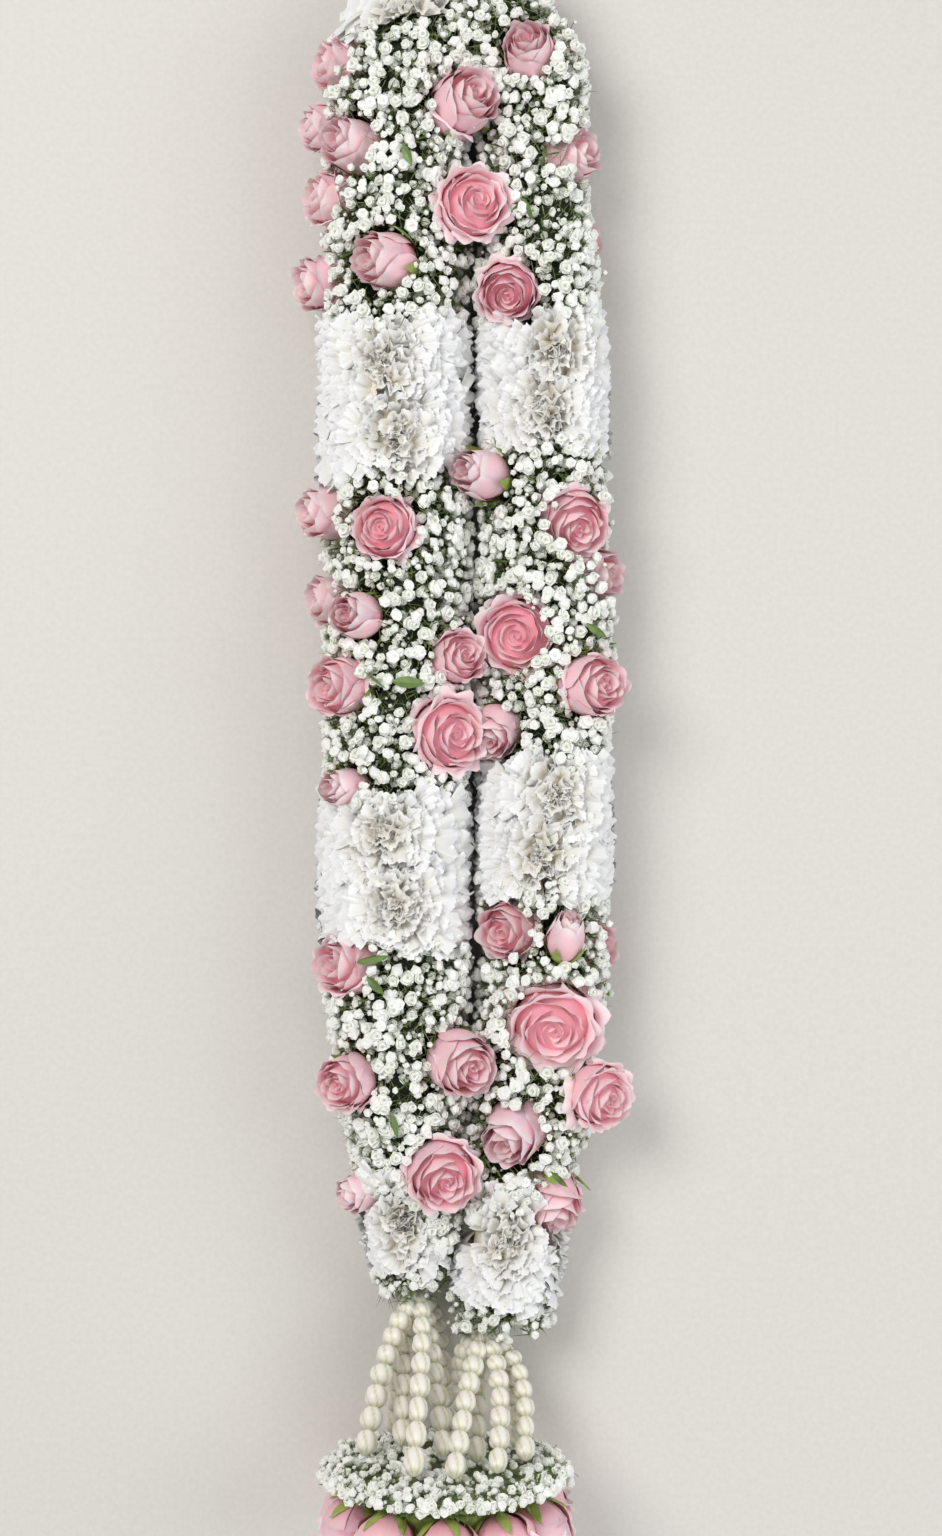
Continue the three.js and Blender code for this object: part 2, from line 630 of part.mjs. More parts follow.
roses.forEach((rose, i) => {
  const before = roses.slice(0, i).filter((other) => other.middle.distanceTo(rose.middle) < NEIGHBOURS);
  const shaped = before.reduce((solid, other) => solid.subtract(other.pocket), rose.solid);
  add("rose_" + rose.name, shaped.subtract(cordRoom).subtract(floor), "rose");
});

const pockets = wasm.Manifold.union(roses.map((rose) => rose.pocket));
const leaning = rightFootRoom();

// Makes room in a strand's flowers for the cord, the roses and the other strand's foot.
function dress(strand, solid) {
  const dressed = solid.subtract(cordRoom).subtract(pockets).subtract(floor);
  return strand === "left" ? dressed.subtract(leaning) : dressed;
}

const within = ([s0, s1]) => [s0 + GAP / 2, s1 - GAP / 2];

for (const [strand, bands] of Object.entries(BANDS)) {
  for (const [place, span] of Object.entries(bands.gypsophila))
    add(`gypsophila_${place}_${strand}`, dress(strand, gypsophila(strand, within(span), 7 * span[0])), "gypsophila");
  for (const [place, span] of Object.entries(bands.carnations)) {
    const shape = place === "foot" ? carnationFoot : carnationBand;
    add(`carnations_${place}_${strand}`, dress(strand, shape(strand, within(span))), "carnation");
  }
  const strings = jasmineStrings(strand).subtract(floor);
  add(`jasmine_strings_${strand}`, strand === "left" ? strings.subtract(leaning) : strings, "jasmine");
}

add("carnations_neck", dress("both", carnationNeck()), "carnation");
add("core_cord", coreCord(CORD_RADIUS, CORD_ENDS), "cord");
add("gypsophila_pendant", gypsophilaPendant().subtract(floor), "gypsophila");
add("pendant_pad", pendantPad(), "pad");
add("pendant_roses", pendantRoses().intersect(behindPad).subtract(floor), "rose");

export default lei;
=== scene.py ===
# %% [markdown]
# # A fresh flower lei, laid out flat
#
# Two strands wrapped in baby's breath lie side by side, with pink roses set into them and bands of
# white carnations between. They bend into each other at the neck and meet at the foot, where strings
# of jasmine buds lead to a round pendant of baby's breath with roses under it.
#
# A flower could be one modelled mesh, copied with instances. Here every flower is a small surface that
# numpy works out from a formula, so that no two roses are alike and thousands of florets still join
# into one mesh for each stretch. The CAD model says where each flower sits. Lengths are in millimetres
# until a mesh is made, +Z is up, and the lei's foot points along -Y.

import bpy
import numpy as np
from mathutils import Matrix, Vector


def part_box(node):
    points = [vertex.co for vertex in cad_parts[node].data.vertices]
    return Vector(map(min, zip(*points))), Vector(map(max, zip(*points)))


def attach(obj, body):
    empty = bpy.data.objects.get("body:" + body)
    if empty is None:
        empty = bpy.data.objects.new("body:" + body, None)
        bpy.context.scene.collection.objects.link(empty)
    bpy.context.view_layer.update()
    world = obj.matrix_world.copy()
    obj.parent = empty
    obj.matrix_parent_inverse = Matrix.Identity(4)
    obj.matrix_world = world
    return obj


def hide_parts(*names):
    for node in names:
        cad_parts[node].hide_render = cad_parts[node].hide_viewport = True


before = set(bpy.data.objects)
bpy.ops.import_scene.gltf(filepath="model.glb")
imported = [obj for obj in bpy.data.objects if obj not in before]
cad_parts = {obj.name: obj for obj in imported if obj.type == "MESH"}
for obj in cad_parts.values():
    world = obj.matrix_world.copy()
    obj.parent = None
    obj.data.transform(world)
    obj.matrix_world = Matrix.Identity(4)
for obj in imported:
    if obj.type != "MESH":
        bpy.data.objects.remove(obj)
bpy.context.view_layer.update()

MM = 0.001
UP = np.array([0.0, 0.0, 1.0])
GOLDEN_TURN = np.pi * (3 - np.sqrt(5))
print("CAD nodes to dress:", len(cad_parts))

# %% [markdown]
# ## The strands
#
# On the real lei each strand is a cord with flowers tied round it, so it is a thick soft tube. A curve
# with a bevel could stand for it, but the flowers need to know where the tube's surface is. So the tube
# is a table of stations: the distance down from the neck bend, x, and the radius of the flowers. A
# distance below 0 is on the bend, where the strand turns over to meet the other one. Flowers on an outer
# side are pressed flatter than the round, and a second table says by how much.

# %% Strand sizes
NECK_Y = 404  # where the bend starts
BEND_X = 5.5
BEND_RADIUS = 49.5
BEND_EYE = 4  # the radius that stays open in the bend's middle
NECK_RADIUS = 46.5  # of the flowers at the top of the bend
NECK_EDGE = -56  # the distance at which the neck's carnations end
QUARTER_TURN = np.pi / 2 * BEND_RADIUS
PRESSED = 2  # by how much the surface under the lei presses the flowers in
SIDE = {"left": -1, "right": 1}
# Each station: the distance down, x, and the radius.
STATIONS = {
    "left": np.array([[0, -44, 48], [550, -44, 48], [626, -40, 43], [688, -35, 35], [760, -30, 28]], float),
    "right": np.array([[0, 55, 45], [550, 55, 45], [626, 45, 42], [688, 35, 38], [760, 26, 35]], float),
}
# How much flatter the outer flank is pressed, at distances down the strand.
FLATTENED = {
    "left": np.array([[0, 0], [700, 0]], float),
    "right": np.array([[-78, 0.1], [-40, 0.4], [60, 0.42], [100, 0.26], [160, 0.16], [250, 0.13], [290, 0.03],
                       [380, 0], [400, 0.09], [560, 0.09], [620, 0]], float),
}
# The stretches of each strand: the distances at which they start and end.
GYPSOPHILA = {
    "left": {"upper": (-QUARTER_TURN, 146), "middle": (239, 436), "lower": (527, 674), "skirt": (730, 746)},
    "right": {"upper": (-QUARTER_TURN, 140), "middle": (218, 413), "lower": (494, 687), "skirt": (750, 768)},
}
CARNATIONS = {
    "left": {"upper": (146, 239), "lower": (436, 527), "foot": (674, 730)},
    "right": {"upper": (140, 218), "lower": (413, 494), "foot": (687, 750)},
}


# %% Places on a strand
def unit(vectors):
    """Each vector divided by its own length."""
    return vectors / np.linalg.norm(vectors, axis=-1, keepdims=True)


def strand_frame(strand, s):
    """Centre, direction down the strand, direction out from the lei's middle, and radius, at each s.

    Down to the foot, x and the radius are read between the stations. On the bend the centre goes round
    a circle: the bend's middle + BEND_RADIUS x (cosine, sine) of the angle -s / BEND_RADIUS.
    """
    s = np.atleast_1d(np.asarray(s, float))
    side = SIDE[strand]
    at, xs, radii = STATIONS[strand].T
    x, radius = np.interp(s, at, xs), np.interp(s, at, radii)
    slope = (np.interp(s + 4, at, xs) - np.interp(np.maximum(0, s - 4), at, xs)) / 8
    down = unit(np.stack([slope, -np.ones_like(s), np.zeros_like(s)], -1))
    centre = np.stack([x, NECK_Y - s, radius - PRESSED], -1)
    out = np.stack([-down[:, 1], down[:, 0], np.zeros_like(s)], -1) * side
    bend = s < 0
    turned = -s[bend] / BEND_RADIUS
    radius[bend] += (NECK_RADIUS - radius[bend]) * turned / (np.pi / 2)
    out[bend] = np.stack([side * np.cos(turned), np.sin(turned), 0 * turned], -1)
    down[bend] = np.stack([side * np.sin(turned), -np.cos(turned), 0 * turned], -1)
    centre[bend] = out[bend] * BEND_RADIUS + [BEND_X, NECK_Y, 0]
    centre[bend, 2] = radius[bend] - PRESSED
    return centre, down, out, radius


def round_strand(strand, s, angle):
    """Centre, direction away from it, direction down, and radius: away = out x cosine + up x sine.

    The radius is less by the flattened share x the cosine squared, on the outer side.
    """
    centre, down, out, radius = strand_frame(strand, s)
    away = out * np.cos(angle)[:, None] + UP * np.sin(angle)[:, None]
    flattened = np.interp(s, *FLATTENED[strand].T) * np.maximum(0, np.cos(angle)) ** 2
    return centre, away, down, radius * (1 - flattened)


def reach_limit(centre, away, reach):
    """The reach, cut on the bend where it would cross the bend's eye."""
    to_eye = np.maximum(0.01, -(away[:, :2] * unit(centre[:, :2] - [BEND_X, NECK_Y])).sum(-1))
    return np.where(centre[:, 1] > NECK_Y, np.minimum(reach, (BEND_RADIUS - BEND_EYE) / to_eye), reach)


def in_neck_band(points):
    """Which points lie in the neck's carnations.

    They are a part of the bend's outer side: between two angles round the bend's middle, and beyond a
    line across it, which is nearer on the left.
    """
    x, y = points[:, 0] - BEND_X, points[:, 1] - NECK_Y
    angle = np.degrees(np.arctan2(y, x))
    return (angle > 62) & (angle < 150) & (y > np.where(x < -13, 40, 66))


def inside_strand(strand, points, margin):
    """Which points lie deeper than margin in a strand's flowers."""
    centre, _, _, radius = strand_frame(strand, np.maximum(0, NECK_Y - points[:, 1]))
    gap = np.hypot(points[:, 0] - centre[:, 0], points[:, 2] - centre[:, 2])
    return (gap < radius - margin) & (points[:, 1] > NECK_Y - GYPSOPHILA[strand]["skirt"][1])


for strand in SIDE:
    last = GYPSOPHILA[strand]["skirt"][1]
    widest = 2 * STATIONS[strand][:, 2].max()
    print(strand, "strand:", round(last + QUARTER_TURN), "mm long, widest", widest, "mm")

# %% [markdown]
# ## Meshes from numbers
#
# Petals, florets and buds are all surfaces with two parameters: u runs across or round, and v from the
# foot to the rim. Blender's own primitives could be bent into them, but arrays are quicker to shape and
# to copy. So a shape is a dictionary of arrays, with the corners' places, the triangles, uv, a tint
# that differs from flower to flower, the depth of a petal in its flower (0 at the heart, 1 outside),
# and a material number for each triangle. It becomes a Blender mesh at the very end.

# %% Sheets and closed rounds
def sheet(points, u, v, tint=0.5, depth=1.0, material=0):
    """Two triangles in each field of a grid of points (rows of v, columns of u)."""
    rows, columns = points.shape[:2]
    corner = (np.arange(rows - 1)[:, None] * columns + np.arange(columns - 1)).ravel()
    first = np.stack([corner, corner + 1, corner + columns + 1], -1)
    second = np.stack([corner, corner + columns + 1, corner + columns], -1)
    uv = np.stack(np.broadcast_arrays(u, v), -1).reshape(-1, 2)
    count = rows * columns
    return {"points": points.reshape(-1, 3), "tris": np.concatenate([first, second]), "uv": uv,
            "tint": np.full(count, tint), "depth": np.full(count, depth),
            "material": np.full(2 * len(corner), material)}


def round_shape(rings, sides, base_rings=0):
    """A closed round about Z: a point, rings of corners, a point.

    Each row of rings is [radius, height, share of a step turned, shade]; the first and the last have
    radius 0 and are the points. Shade becomes u. Faces below base_rings get material 1.
    """
    rings = np.asarray(rings, float)
    inner = rings[1:-1]
    turn = (np.arange(sides) + inner[:, 2:3]) / sides * 2 * np.pi
    spread = inner[:, :1]
    corners = np.stack([spread * np.cos(turn), spread * np.sin(turn), inner[:, 1:2] + 0 * turn], -1)
    points = np.concatenate([[[0, 0, rings[0, 1]]], corners.reshape(-1, 3), [[0, 0, rings[-1, 1]]]])
    here, after = np.arange(sides), (np.arange(sides) + 1) % sides
    last = len(points) - 1
    tris, level = [np.stack([0 * here, 1 + after, 1 + here], -1)], [0]
    for i in range(len(inner) - 1):
        low, low_next = 1 + i * sides + here, 1 + i * sides + after
        high, high_next = low + sides, low_next + sides
        if inner[i + 1, 2] > inner[i, 2]:
            tris += [np.stack([low, low_next, high], -1), np.stack([low_next, high_next, high], -1)]
        else:
            tris += [np.stack([low, low_next, high_next], -1), np.stack([low, high_next, high], -1)]
        level += [i + 1, i + 1]
    top = 1 + (len(inner) - 1) * sides
    tris.append(np.stack([last + 0 * here, top + here, top + after], -1))
    level.append(len(inner))
    shade = np.concatenate([rings[:1, 3], np.repeat(inner[:, 3], sides), rings[-1:, 3]])
    material = np.repeat((np.array(level) < base_rings).astype(int), sides)
    return {"points": points, "tris": np.concatenate(tris), "uv": np.stack([shade, shade], -1),
            "tint": np.zeros(len(points)), "depth": np.ones(len(points)), "material": material}


# %% Copies of a shape
POINT_ARRAYS = ("points", "uv", "tint", "depth")


def join(shapes):
    """Several shapes as one: the arrays end to end, the corner numbers moved on."""
    starts = np.cumsum([0] + [len(shape["points"]) for shape in shapes[:-1]])
    whole = {key: np.concatenate([shape[key] for shape in shapes]) for key in (*POINT_ARRAYS, "material")}
    whole["tris"] = np.concatenate([shape["tris"] + start for shape, start in zip(shapes, starts)])
    return whole


def basis(axes, turns):
    """For each axis, a rotation that takes +Z to it after a turn about it."""
    z = unit(axes)
    helper = np.where(np.abs(z[:, 2:]) > 0.95, [[1.0, 0, 0]], UP)
    x = unit(np.cross(helper, z))
    y = np.cross(z, x)
    across = x * np.cos(turns)[:, None] + y * np.sin(turns)[:, None]
    return np.stack([across, np.cross(z, across), z], -1)


def stamp(shape, places, axes, sizes, rng):
    """Copies of one small shape: place + rotation to the axis x size x point, each with a tint drawn."""
    count, size = len(places), len(shape["points"])
    turned = np.einsum("nij,pj->npi", basis(axes, rng.uniform(0, 2 * np.pi, count)), shape["points"])
    sizes = np.broadcast_to(sizes, count)[:, None, None]
    tris = shape["tris"][None] + np.arange(count)[:, None, None] * size
    return {"points": (places[:, None] + turned * sizes).reshape(-1, 3), "tris": tris.reshape(-1, 3),
            "uv": np.tile(shape["uv"], (count, 1)), "tint": np.repeat(rng.uniform(0, 1, count), size),
            "depth": np.tile(shape["depth"], count), "material": np.tile(shape["material"], count)}


def placed(shape, foot, face, turn=0.0):
    """One shape moved so that its +Z looks along face from its foot."""
    rotation = basis(np.asarray(face, float)[None], np.array([turn]))[0]
    return {**shape, "points": shape["points"] @ rotation.T + foot}


# %% From arrays to an object
LOWEST = 0.2  # the lowest that any flower reaches over the surface under the lei
made = {}


def piece(name, shape, materials, node, smooth=True):
    """A Blender object from a shape, which stands for a CAD node. The floor presses it flat below."""
    points, tris = shape["points"].copy(), shape["tris"]
    points[:, 2] = np.maximum(points[:, 2], LOWEST)
    mesh = bpy.data.meshes.new(name)
    mesh.vertices.add(len(points))
    mesh.vertices.foreach_set("co", (points * MM).astype(np.float32).ravel())
    mesh.loops.add(tris.size)
    mesh.loops.foreach_set("vertex_index", tris.astype(np.int32).ravel())
    mesh.polygons.add(len(tris))
    mesh.polygons.foreach_set("loop_start", np.arange(0, tris.size, 3, dtype=np.int32))
    mesh.polygons.foreach_set("material_index", shape["material"].astype(np.int32))
    mesh.polygons.foreach_set("use_smooth", np.full(len(tris), smooth))
    mesh.update(calc_edges=True)
    corner_uv = shape["uv"][tris.ravel()].astype(np.float32)
    mesh.uv_layers.new(name="UVMap").data.foreach_set("uv", corner_uv.ravel())
    for key in ("tint", "depth"):
        mesh.attributes.new(key, "FLOAT", "POINT").data.foreach_set("value", shape[key].astype(np.float32))
    for material in materials:
        mesh.materials.append(material)
    obj = bpy.data.objects.new(name, mesh)
    bpy.context.scene.collection.objects.link(obj)
    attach(obj, "root")
    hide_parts(node)
    made[name] = len(tris)
    return obj


# %% [markdown]
# ## Finishes
#
# Petals are matt and a little translucent, with fine streaks from foot to rim. An image could be laid on
# them, but each petal knows its own u and v, so its colours are ramps over v. The streaks and the
# patches of the greens are used by several finishes, so each is a node group, built once.

# %% Node helpers
def colour(text):
    """A linear colour from an sRGB one written as RRGGBB: ((c + 0.055) / 1.055) to the power 2.4."""
    srgb = np.array([int(text[i:i + 2], 16) for i in (0, 2, 4)]) / 255
    linear = np.where(srgb <= 0.04045, srgb / 12.92, ((srgb + 0.055) / 1.055) ** 2.4)
    return (*linear, 1.0)


class Nodes:
    """Short names for the few shader nodes that flowers need, in one node tree."""

    def __init__(self, tree):
        self.tree = tree

    def feed(self, socket, value):
        """A link where the value comes out of another node, or else the socket's own value."""
        if isinstance(value, bpy.types.NodeSocket):
            self.tree.links.new(value, socket)
        else:
            socket.default_value = value

    def node(self, kind, **inputs):
        """A new node with its inputs fed by name."""
        node = self.tree.nodes.new(kind)
        for socket, value in inputs.items():
            self.feed(node.inputs[socket], value)
        return node

    def group(self, group, **inputs):
        """The output of a node group placed with its own values."""
        node = self.tree.nodes.new("ShaderNodeGroup")
        node.node_tree = group
        for socket, value in inputs.items():
            self.feed(node.inputs[socket], value)
        return node.outputs[0]

    def uv(self):
        """A petal's u and v."""
        split = self.node("ShaderNodeSeparateXYZ", Vector=self.node("ShaderNodeUVMap").outputs["UV"])
        return split.outputs["X"], split.outputs["Y"]

    def value(self, attribute):
        """A number kept at each corner of the mesh: tint or depth."""
        node = self.node("ShaderNodeAttribute")
        node.attribute_name = attribute
        return node.outputs["Fac"]

    def times(self, a, b):
        node = self.node("ShaderNodeMath")
        node.operation = "MULTIPLY"
        self.feed(node.inputs[0], a)
        self.feed(node.inputs[1], b)
        return node.outputs[0]

    def ramp(self, factor, *stops):
        """Colours at positions from 0 to 1, blended in between."""
        node = self.node("ShaderNodeValToRGB", Fac=factor)
        elements = node.color_ramp.elements
        while len(elements) < len(stops):
            elements.new(0.5)
        for element, (position, text) in zip(elements, stops):
            element.position = position
            element.color = colour(text)
        return node.outputs["Color"]

    def mix(self, factor, a, b):
        node = self.node("ShaderNodeMix")
        node.data_type = "RGBA"
        for socket, value in ((0, factor), (6, a), (7, b)):
            self.feed(node.inputs[socket], value)
        return node.outputs[2]


class Finish(Nodes):
    """A material with one Principled shader."""

    def __init__(self, name, roughness, **constants):
        self.material = bpy.data.materials.new(name)
        self.material.use_nodes = True
        super().__init__(self.material.node_tree)
        self.surface = self.tree.nodes["Principled BSDF"]
        self.surface.inputs["Roughness"].default_value = roughness
        for socket, value in constants.items():
            self.surface.inputs[socket.replace("_", " ")].default_value = value

    def bump(self, height, strength, distance):
        """Fine relief that only bends the light."""
        node = self.node("ShaderNodeBump", Height=height)
        node.inputs["Strength"].default_value = strength
        node.inputs["Distance"].default_value = distance
        self.feed(self.surface.inputs["Normal"], node.outputs["Normal"])

    def paint(self, value):
        """Gives the shader its base colour, and hands back the finished material."""
        self.feed(self.surface.inputs["Base Color"], value)
        return self.material


# %% Node groups
def value_group(name, inputs, output):
    """An empty group with number inputs and one number output."""
    group = bpy.data.node_groups.new(name, "ShaderNodeTree")
    for socket, value in inputs.items():
        given = group.interface.new_socket(socket, in_out="INPUT", socket_type="NodeSocketFloat")
        given.default_value = value
    group.interface.new_socket(output, in_out="OUTPUT", socket_type="NodeSocketFloat")
    nodes = Nodes(group)
    return nodes, group.nodes.new("NodeGroupInput"), group.nodes.new("NodeGroupOutput")


def petal_streaks():
    """Noise over the petal's own uv, fine across it and drawn out along it."""
    nodes, given, result = value_group("petal_streaks", {"Across": 24.0, "Along": 2.0}, "Streaks")
    u, v = nodes.uv()
    place = nodes.node("ShaderNodeCombineXYZ", X=nodes.times(u, given.outputs["Across"]),
                       Y=nodes.times(v, given.outputs["Along"]))
    noise = nodes.node("ShaderNodeTexNoise", Vector=place.outputs["Vector"], Scale=1.0, Detail=3.0)
    nodes.feed(result.inputs["Streaks"], noise.outputs["Fac"])
    return nodes.tree


def patches():
    """Noise over the object's own coordinates."""
    nodes, given, result = value_group("patches", {"Scale": 160.0}, "Patches")
    noise = nodes.node("ShaderNodeTexNoise", Vector=nodes.node("ShaderNodeTexCoord").outputs["Object"],
                       Scale=given.outputs["Scale"], Detail=3.0)
    nodes.feed(result.inputs["Patches"], noise.outputs["Fac"])
    return nodes.tree


STREAKS = petal_streaks()
PATCHES = patches()


# %% Flower finishes
def rose_petal():
    """Pink that deepens towards the petal's foot and the rose's heart, partly the rose's own colour and
    partly painted shade of its crevices, with a pale rim that is partly its own and partly painted highlight.
    """
    finish = Finish("rose_petal", 0.55, Sheen_Weight=0.1, Subsurface_Weight=0.25, Subsurface_Scale=0.003)
    _, v = finish.uv()
    # The deeper pink at the foot and on the inner petals is partly painted shade; the pale rim is partly
    # painted highlight.
    outer = finish.ramp(v, (0.0, "EE8FA2"), (0.4, "FAB6C4"), (0.8, "FFCFDA"), (0.94, "FFEDF0"))
    inner = finish.ramp(v, (0.0, "CE5066"), (0.55, "F49AAA"), (0.8, "FEC0CB"), (0.93, "FFE8EB"))
    streaks = finish.group(STREAKS, Across=26.0, Along=2.2)
    body = finish.mix(finish.value("depth"), inner, outer)
    finish.bump(streaks, 0.18, 0.0004)
    streaked = finish.mix(finish.times(streaks, 0.2), body, colour("FFDCE2"))
    return finish.paint(finish.mix(finish.times(finish.value("tint"), 0.25), streaked, colour("FFD9D6")))


def carnation_petal():
    """White at the cut rim, partly painted highlight, and cream below it; near a heart the foot is a
    yellowish brown, partly the petals' own colour and partly painted shade of the crevices.
    """
    finish = Finish("carnation_petal", 0.65, Sheen_Weight=0.08)
    _, v = finish.uv()
    # The darker foot is partly painted shade, and the brightest rim is partly painted highlight.
    inner = finish.ramp(v, (0.0, "CDB47C"), (0.4, "EADFC4"), (0.8, "F5F0E4"), (0.97, "FDFBF6"))
    outer = finish.ramp(v, (0.0, "D8D1BE"), (0.4, "EBE8E0"), (0.8, "F2F3F2"), (0.97, "F9FAFC"))
    rays = finish.group(STREAKS, Across=34.0, Along=1.6)
    finish.bump(rays, 0.25, 0.0005)
    body = finish.mix(finish.value("depth"), inner, outer)
    return finish.paint(finish.mix(finish.times(finish.value("tint"), 0.25), body, colour("EDEEF0")))


def floret_petal():
    """White, darkened and greener as painted shade in the furrows and on the underside, and at the heart,
    which is also greenish of its own: u is the shade of each ring.
    """
    finish = Finish("floret_petal", 0.6)
    u, _ = finish.uv()
    body = finish.ramp(u, (0.0, "8E9A6A"), (0.35, "CED4C0"), (0.7, "F3F5EF"), (1.0, "FBFCFA"))
    return finish.paint(finish.mix(finish.times(finish.value("tint"), 0.12), body, colour("DDE3D2")))


def bud_skin():
    """Waxy cream, darker in the seams between the folded petals as painted shade of their grooves, and
    greenish at both ends.
    """
    finish = Finish("bud_skin", 0.38, Coat_Weight=0.15, Subsurface_Weight=0.1, Subsurface_Scale=0.003)
    u, v = finish.uv()
    ends = finish.ramp(v, (0.0, "5F6A26"), (0.1, "A9AC64"), (0.2, "F3EFDD"), (0.86, "F7F3E6"),
                       (1.0, "8D8440"))
    # The seams' dark is painted shade in their grooves.
    seam = finish.ramp(u, (0.0, "8F8547"), (0.35, "DED7B8"), (0.7, "FDFBF4"))
    return finish.paint(finish.mix(0.55, ends, seam))


def greenery(name, dark, light, roughness=0.6):
    """Patches of two greens, with the lighter one stronger where the tint is high."""
    finish = Finish(name, roughness)
    green = finish.ramp(finish.group(PATCHES, Scale=160.0), (0.3, dark), (0.7, light))
    return finish.paint(finish.mix(finish.times(finish.value("tint"), 0.5), green, colour(light)))


ROSE = rose_petal()
CARNATION = carnation_petal()
FLORET = floret_petal()
BUD = bud_skin()
STEM = greenery("floret_stems", "48592C", "8A9560")
LEAF = greenery("leaves", "3B5420", "74904A", 0.45)
SEPAL = greenery("sepals", "6F8F35", "B4C46A", 0.5)
# The stems' green darkened nearly to black: painted shade for the deep gaps between the florets.
SHADE = greenery("inner_greens", "12180B", "283217", 0.85)
HEARTWOOD = greenery("carnation_hearts", "E6DDC6", "F2ECDC", 0.8)


# %% Finishes of the cord and the card
def cotton():
    """Twisted fibres: fine noise that also raises the surface."""
    finish = Finish("cotton_cord", 0.9)
    twist = finish.group(PATCHES, Scale=900.0)
    finish.bump(twist, 0.4, 0.0005)
    return finish.paint(finish.ramp(twist, (0.3, "B9AB8B"), (0.7, "E2D8C0")))


def card():
    """Pressed green fibres."""
    finish = Finish("green_card", 0.9)
    fibres = finish.group(PATCHES, Scale=400.0)
    finish.bump(fibres, 0.3, 0.0004)
    return finish.paint(finish.ramp(fibres, (0.3, "4E5B33"), (0.7, "6F7F4C")))


COTTON = cotton()
CARD = card()
print("finishes:", len(bpy.data.materials))

# %% [markdown]
# ## Roses
#
# A real rose is a spiral of petals round one axis: the inner ones are wrapped tight, the outer ones are
# wide, with rims that curl over. Sculpting one and copying it would show the same rose 53 times. Here a
# petal is a sheet in round coordinates, with u turning about the axis and v rising from the foot, and a
# rose is four layers of such petals, each petal a golden turn on from the last. How far the rose has
# opened decides how much its petals close in above.

# %% One petal of a rose
PETAL_V = np.linspace(0, 1, 11)[:, None]
PETAL_U = np.linspace(-1, 1, 15)[None, :]


def rose_petal_sheet(rim, top, angle, span, curl, tuck, close, depth, rng):
    """A petal whose radius and height follow from u and v.

    Angle = its own angle + span x u, narrower at the foot. Radius = rim x a bowl that swells by v 0.55,
    then closes in by the share close, x (1 + tuck x u), so that one side tucks under the next petal,
    + the curl of the rim. Height = top x v, lower towards the rim's corners and where the rim curls over.
    """
    u, v = PETAL_U, PETAL_V
    wide = span * np.interp(v, [0, 0.2, 0.6, 1], [0.5, 0.85, 1.0, 0.9])
    turn = angle + wide * u
    bowl = np.interp(v, [0, 0.08, 0.2, 0.38, 0.55, 1], [0.16, 0.42, 0.72, 0.94, 1.0, 1.0])
    closed = 1 - close * np.clip((v - 0.5) / 0.5, 0, 1) ** 1.6
    over = np.clip((v - 0.7) / 0.3, 0, 1) ** 2
    wave = 0.35 * curl * np.sin(rng.uniform(2.0, 3.2) * np.pi * u + rng.uniform(0, 6)) * over
    radius = rim * bowl * closed * (1 + tuck * u) + curl * over + wave
    point = 0.03 * top * np.exp(-((u / 0.22) ** 2)) * over
    rise = top * (v - 0.22 * np.abs(u) ** 2.6 * v ** 2) - 0.75 * curl * over ** 1.5 + 0.6 * wave + point
    points = np.stack([radius * np.cos(turn), radius * np.sin(turn), rise], -1)
    return sheet(points, (u + 1) / 2 + rng.integers(0, 9), v, rng.uniform(0, 1), depth)


# %% A whole rose
# Each layer: how many petals, then from its first petal to its last the rim's radius as a share of the
# half width, the height as a share of the whole, half the angle it spans, the curl as a share of the
# half width, the tuck, and the depth.
ROSE_LAYERS = {
    "heart": (7, (0.06, 0.36), (0.88, 0.98), (105, 80), (0.0, 0.02), (0.34, 0.22), (0.0, 0.45)),
    "middle": (7, (0.42, 0.72), (0.98, 0.97), (74, 62), (0.03, 0.08), (0.16, 0.1), (0.5, 0.85)),
    "outer": (7, (0.76, 0.92), (0.95, 0.86), (64, 56), (0.1, 0.16), (0.07, 0.04), (0.9, 1.0)),
    "guard": (5, (0.9, 0.95), (0.76, 0.6), (58, 52), (0.18, 0.26), (0.03, 0.02), (1.0, 1.0)),
}


CLOSING = 0.42  # how far the petals of a closed rose lean in, as a share of their radius


def rose_height(width, opened):
    """A closed rose is taller than an open one of the same width."""
    return width * (1.4 - 0.56 * opened)


def rose_core(half, height, opened):
    """The petals packed inside: a pink round that fills the rose up to under the rims, its low shades giving
    it a deep pink that is partly its own and partly painted shade between the petals.
    """
    close = 0.3 * (1 - opened)
    profile = [[0, 0.02, 0, 0.1], [0.3, 0.05, 0, 0.15], [0.66, 0.2, 0.5, 0.3], [0.86, 0.44, 0, 0.5],
               [0.84 - close, 0.58, 0.5, 0.5], [0.5 - 0.5 * close, 0.7, 0, 0.4], [0, 0.74, 0, 0.3]]
    rings = np.array(profile) * [half, height, 1, 1]
    return {**round_shape(rings, 16), "depth": np.full(5 * 16 + 2, 0.45)}


def rose_petals(width, opened, rng):
    """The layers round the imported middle. An open rose has more guard petals, and they curl further."""
    half, height = width / 2, rose_height(width, opened)
    start = rng.uniform(0, 2 * np.pi)
    petals = [rose_core(half, height, opened)]
    number = 0
    for layer, (count, *ranges) in ROSE_LAYERS.items():
        if layer == "guard":
            count = round(count * max(0, opened - 0.3) / 0.6)
        for k in range(count):
            share = [0, max(1, count - 1)]
            rim, top, span, curl, tuck, depth = (np.interp(k, share, ends) for ends in ranges)
            close = CLOSING * (1 - opened) * (layer != "heart")
            rim = half * rim * rng.uniform(0.96, 1.03)
            top = height * top * rng.uniform(0.96, 1.02) * (1 - 0.1 * opened)
            span = np.radians(span * rng.uniform(0.92, 1.08))
            curl = half * curl * (0.5 + opened) * rng.uniform(0.7, 1.3)
            turn = start + number * GOLDEN_TURN
            petals.append(rose_petal_sheet(rim, top, turn, span, curl, tuck, close, depth, rng))
            number += 1
    return join(petals)


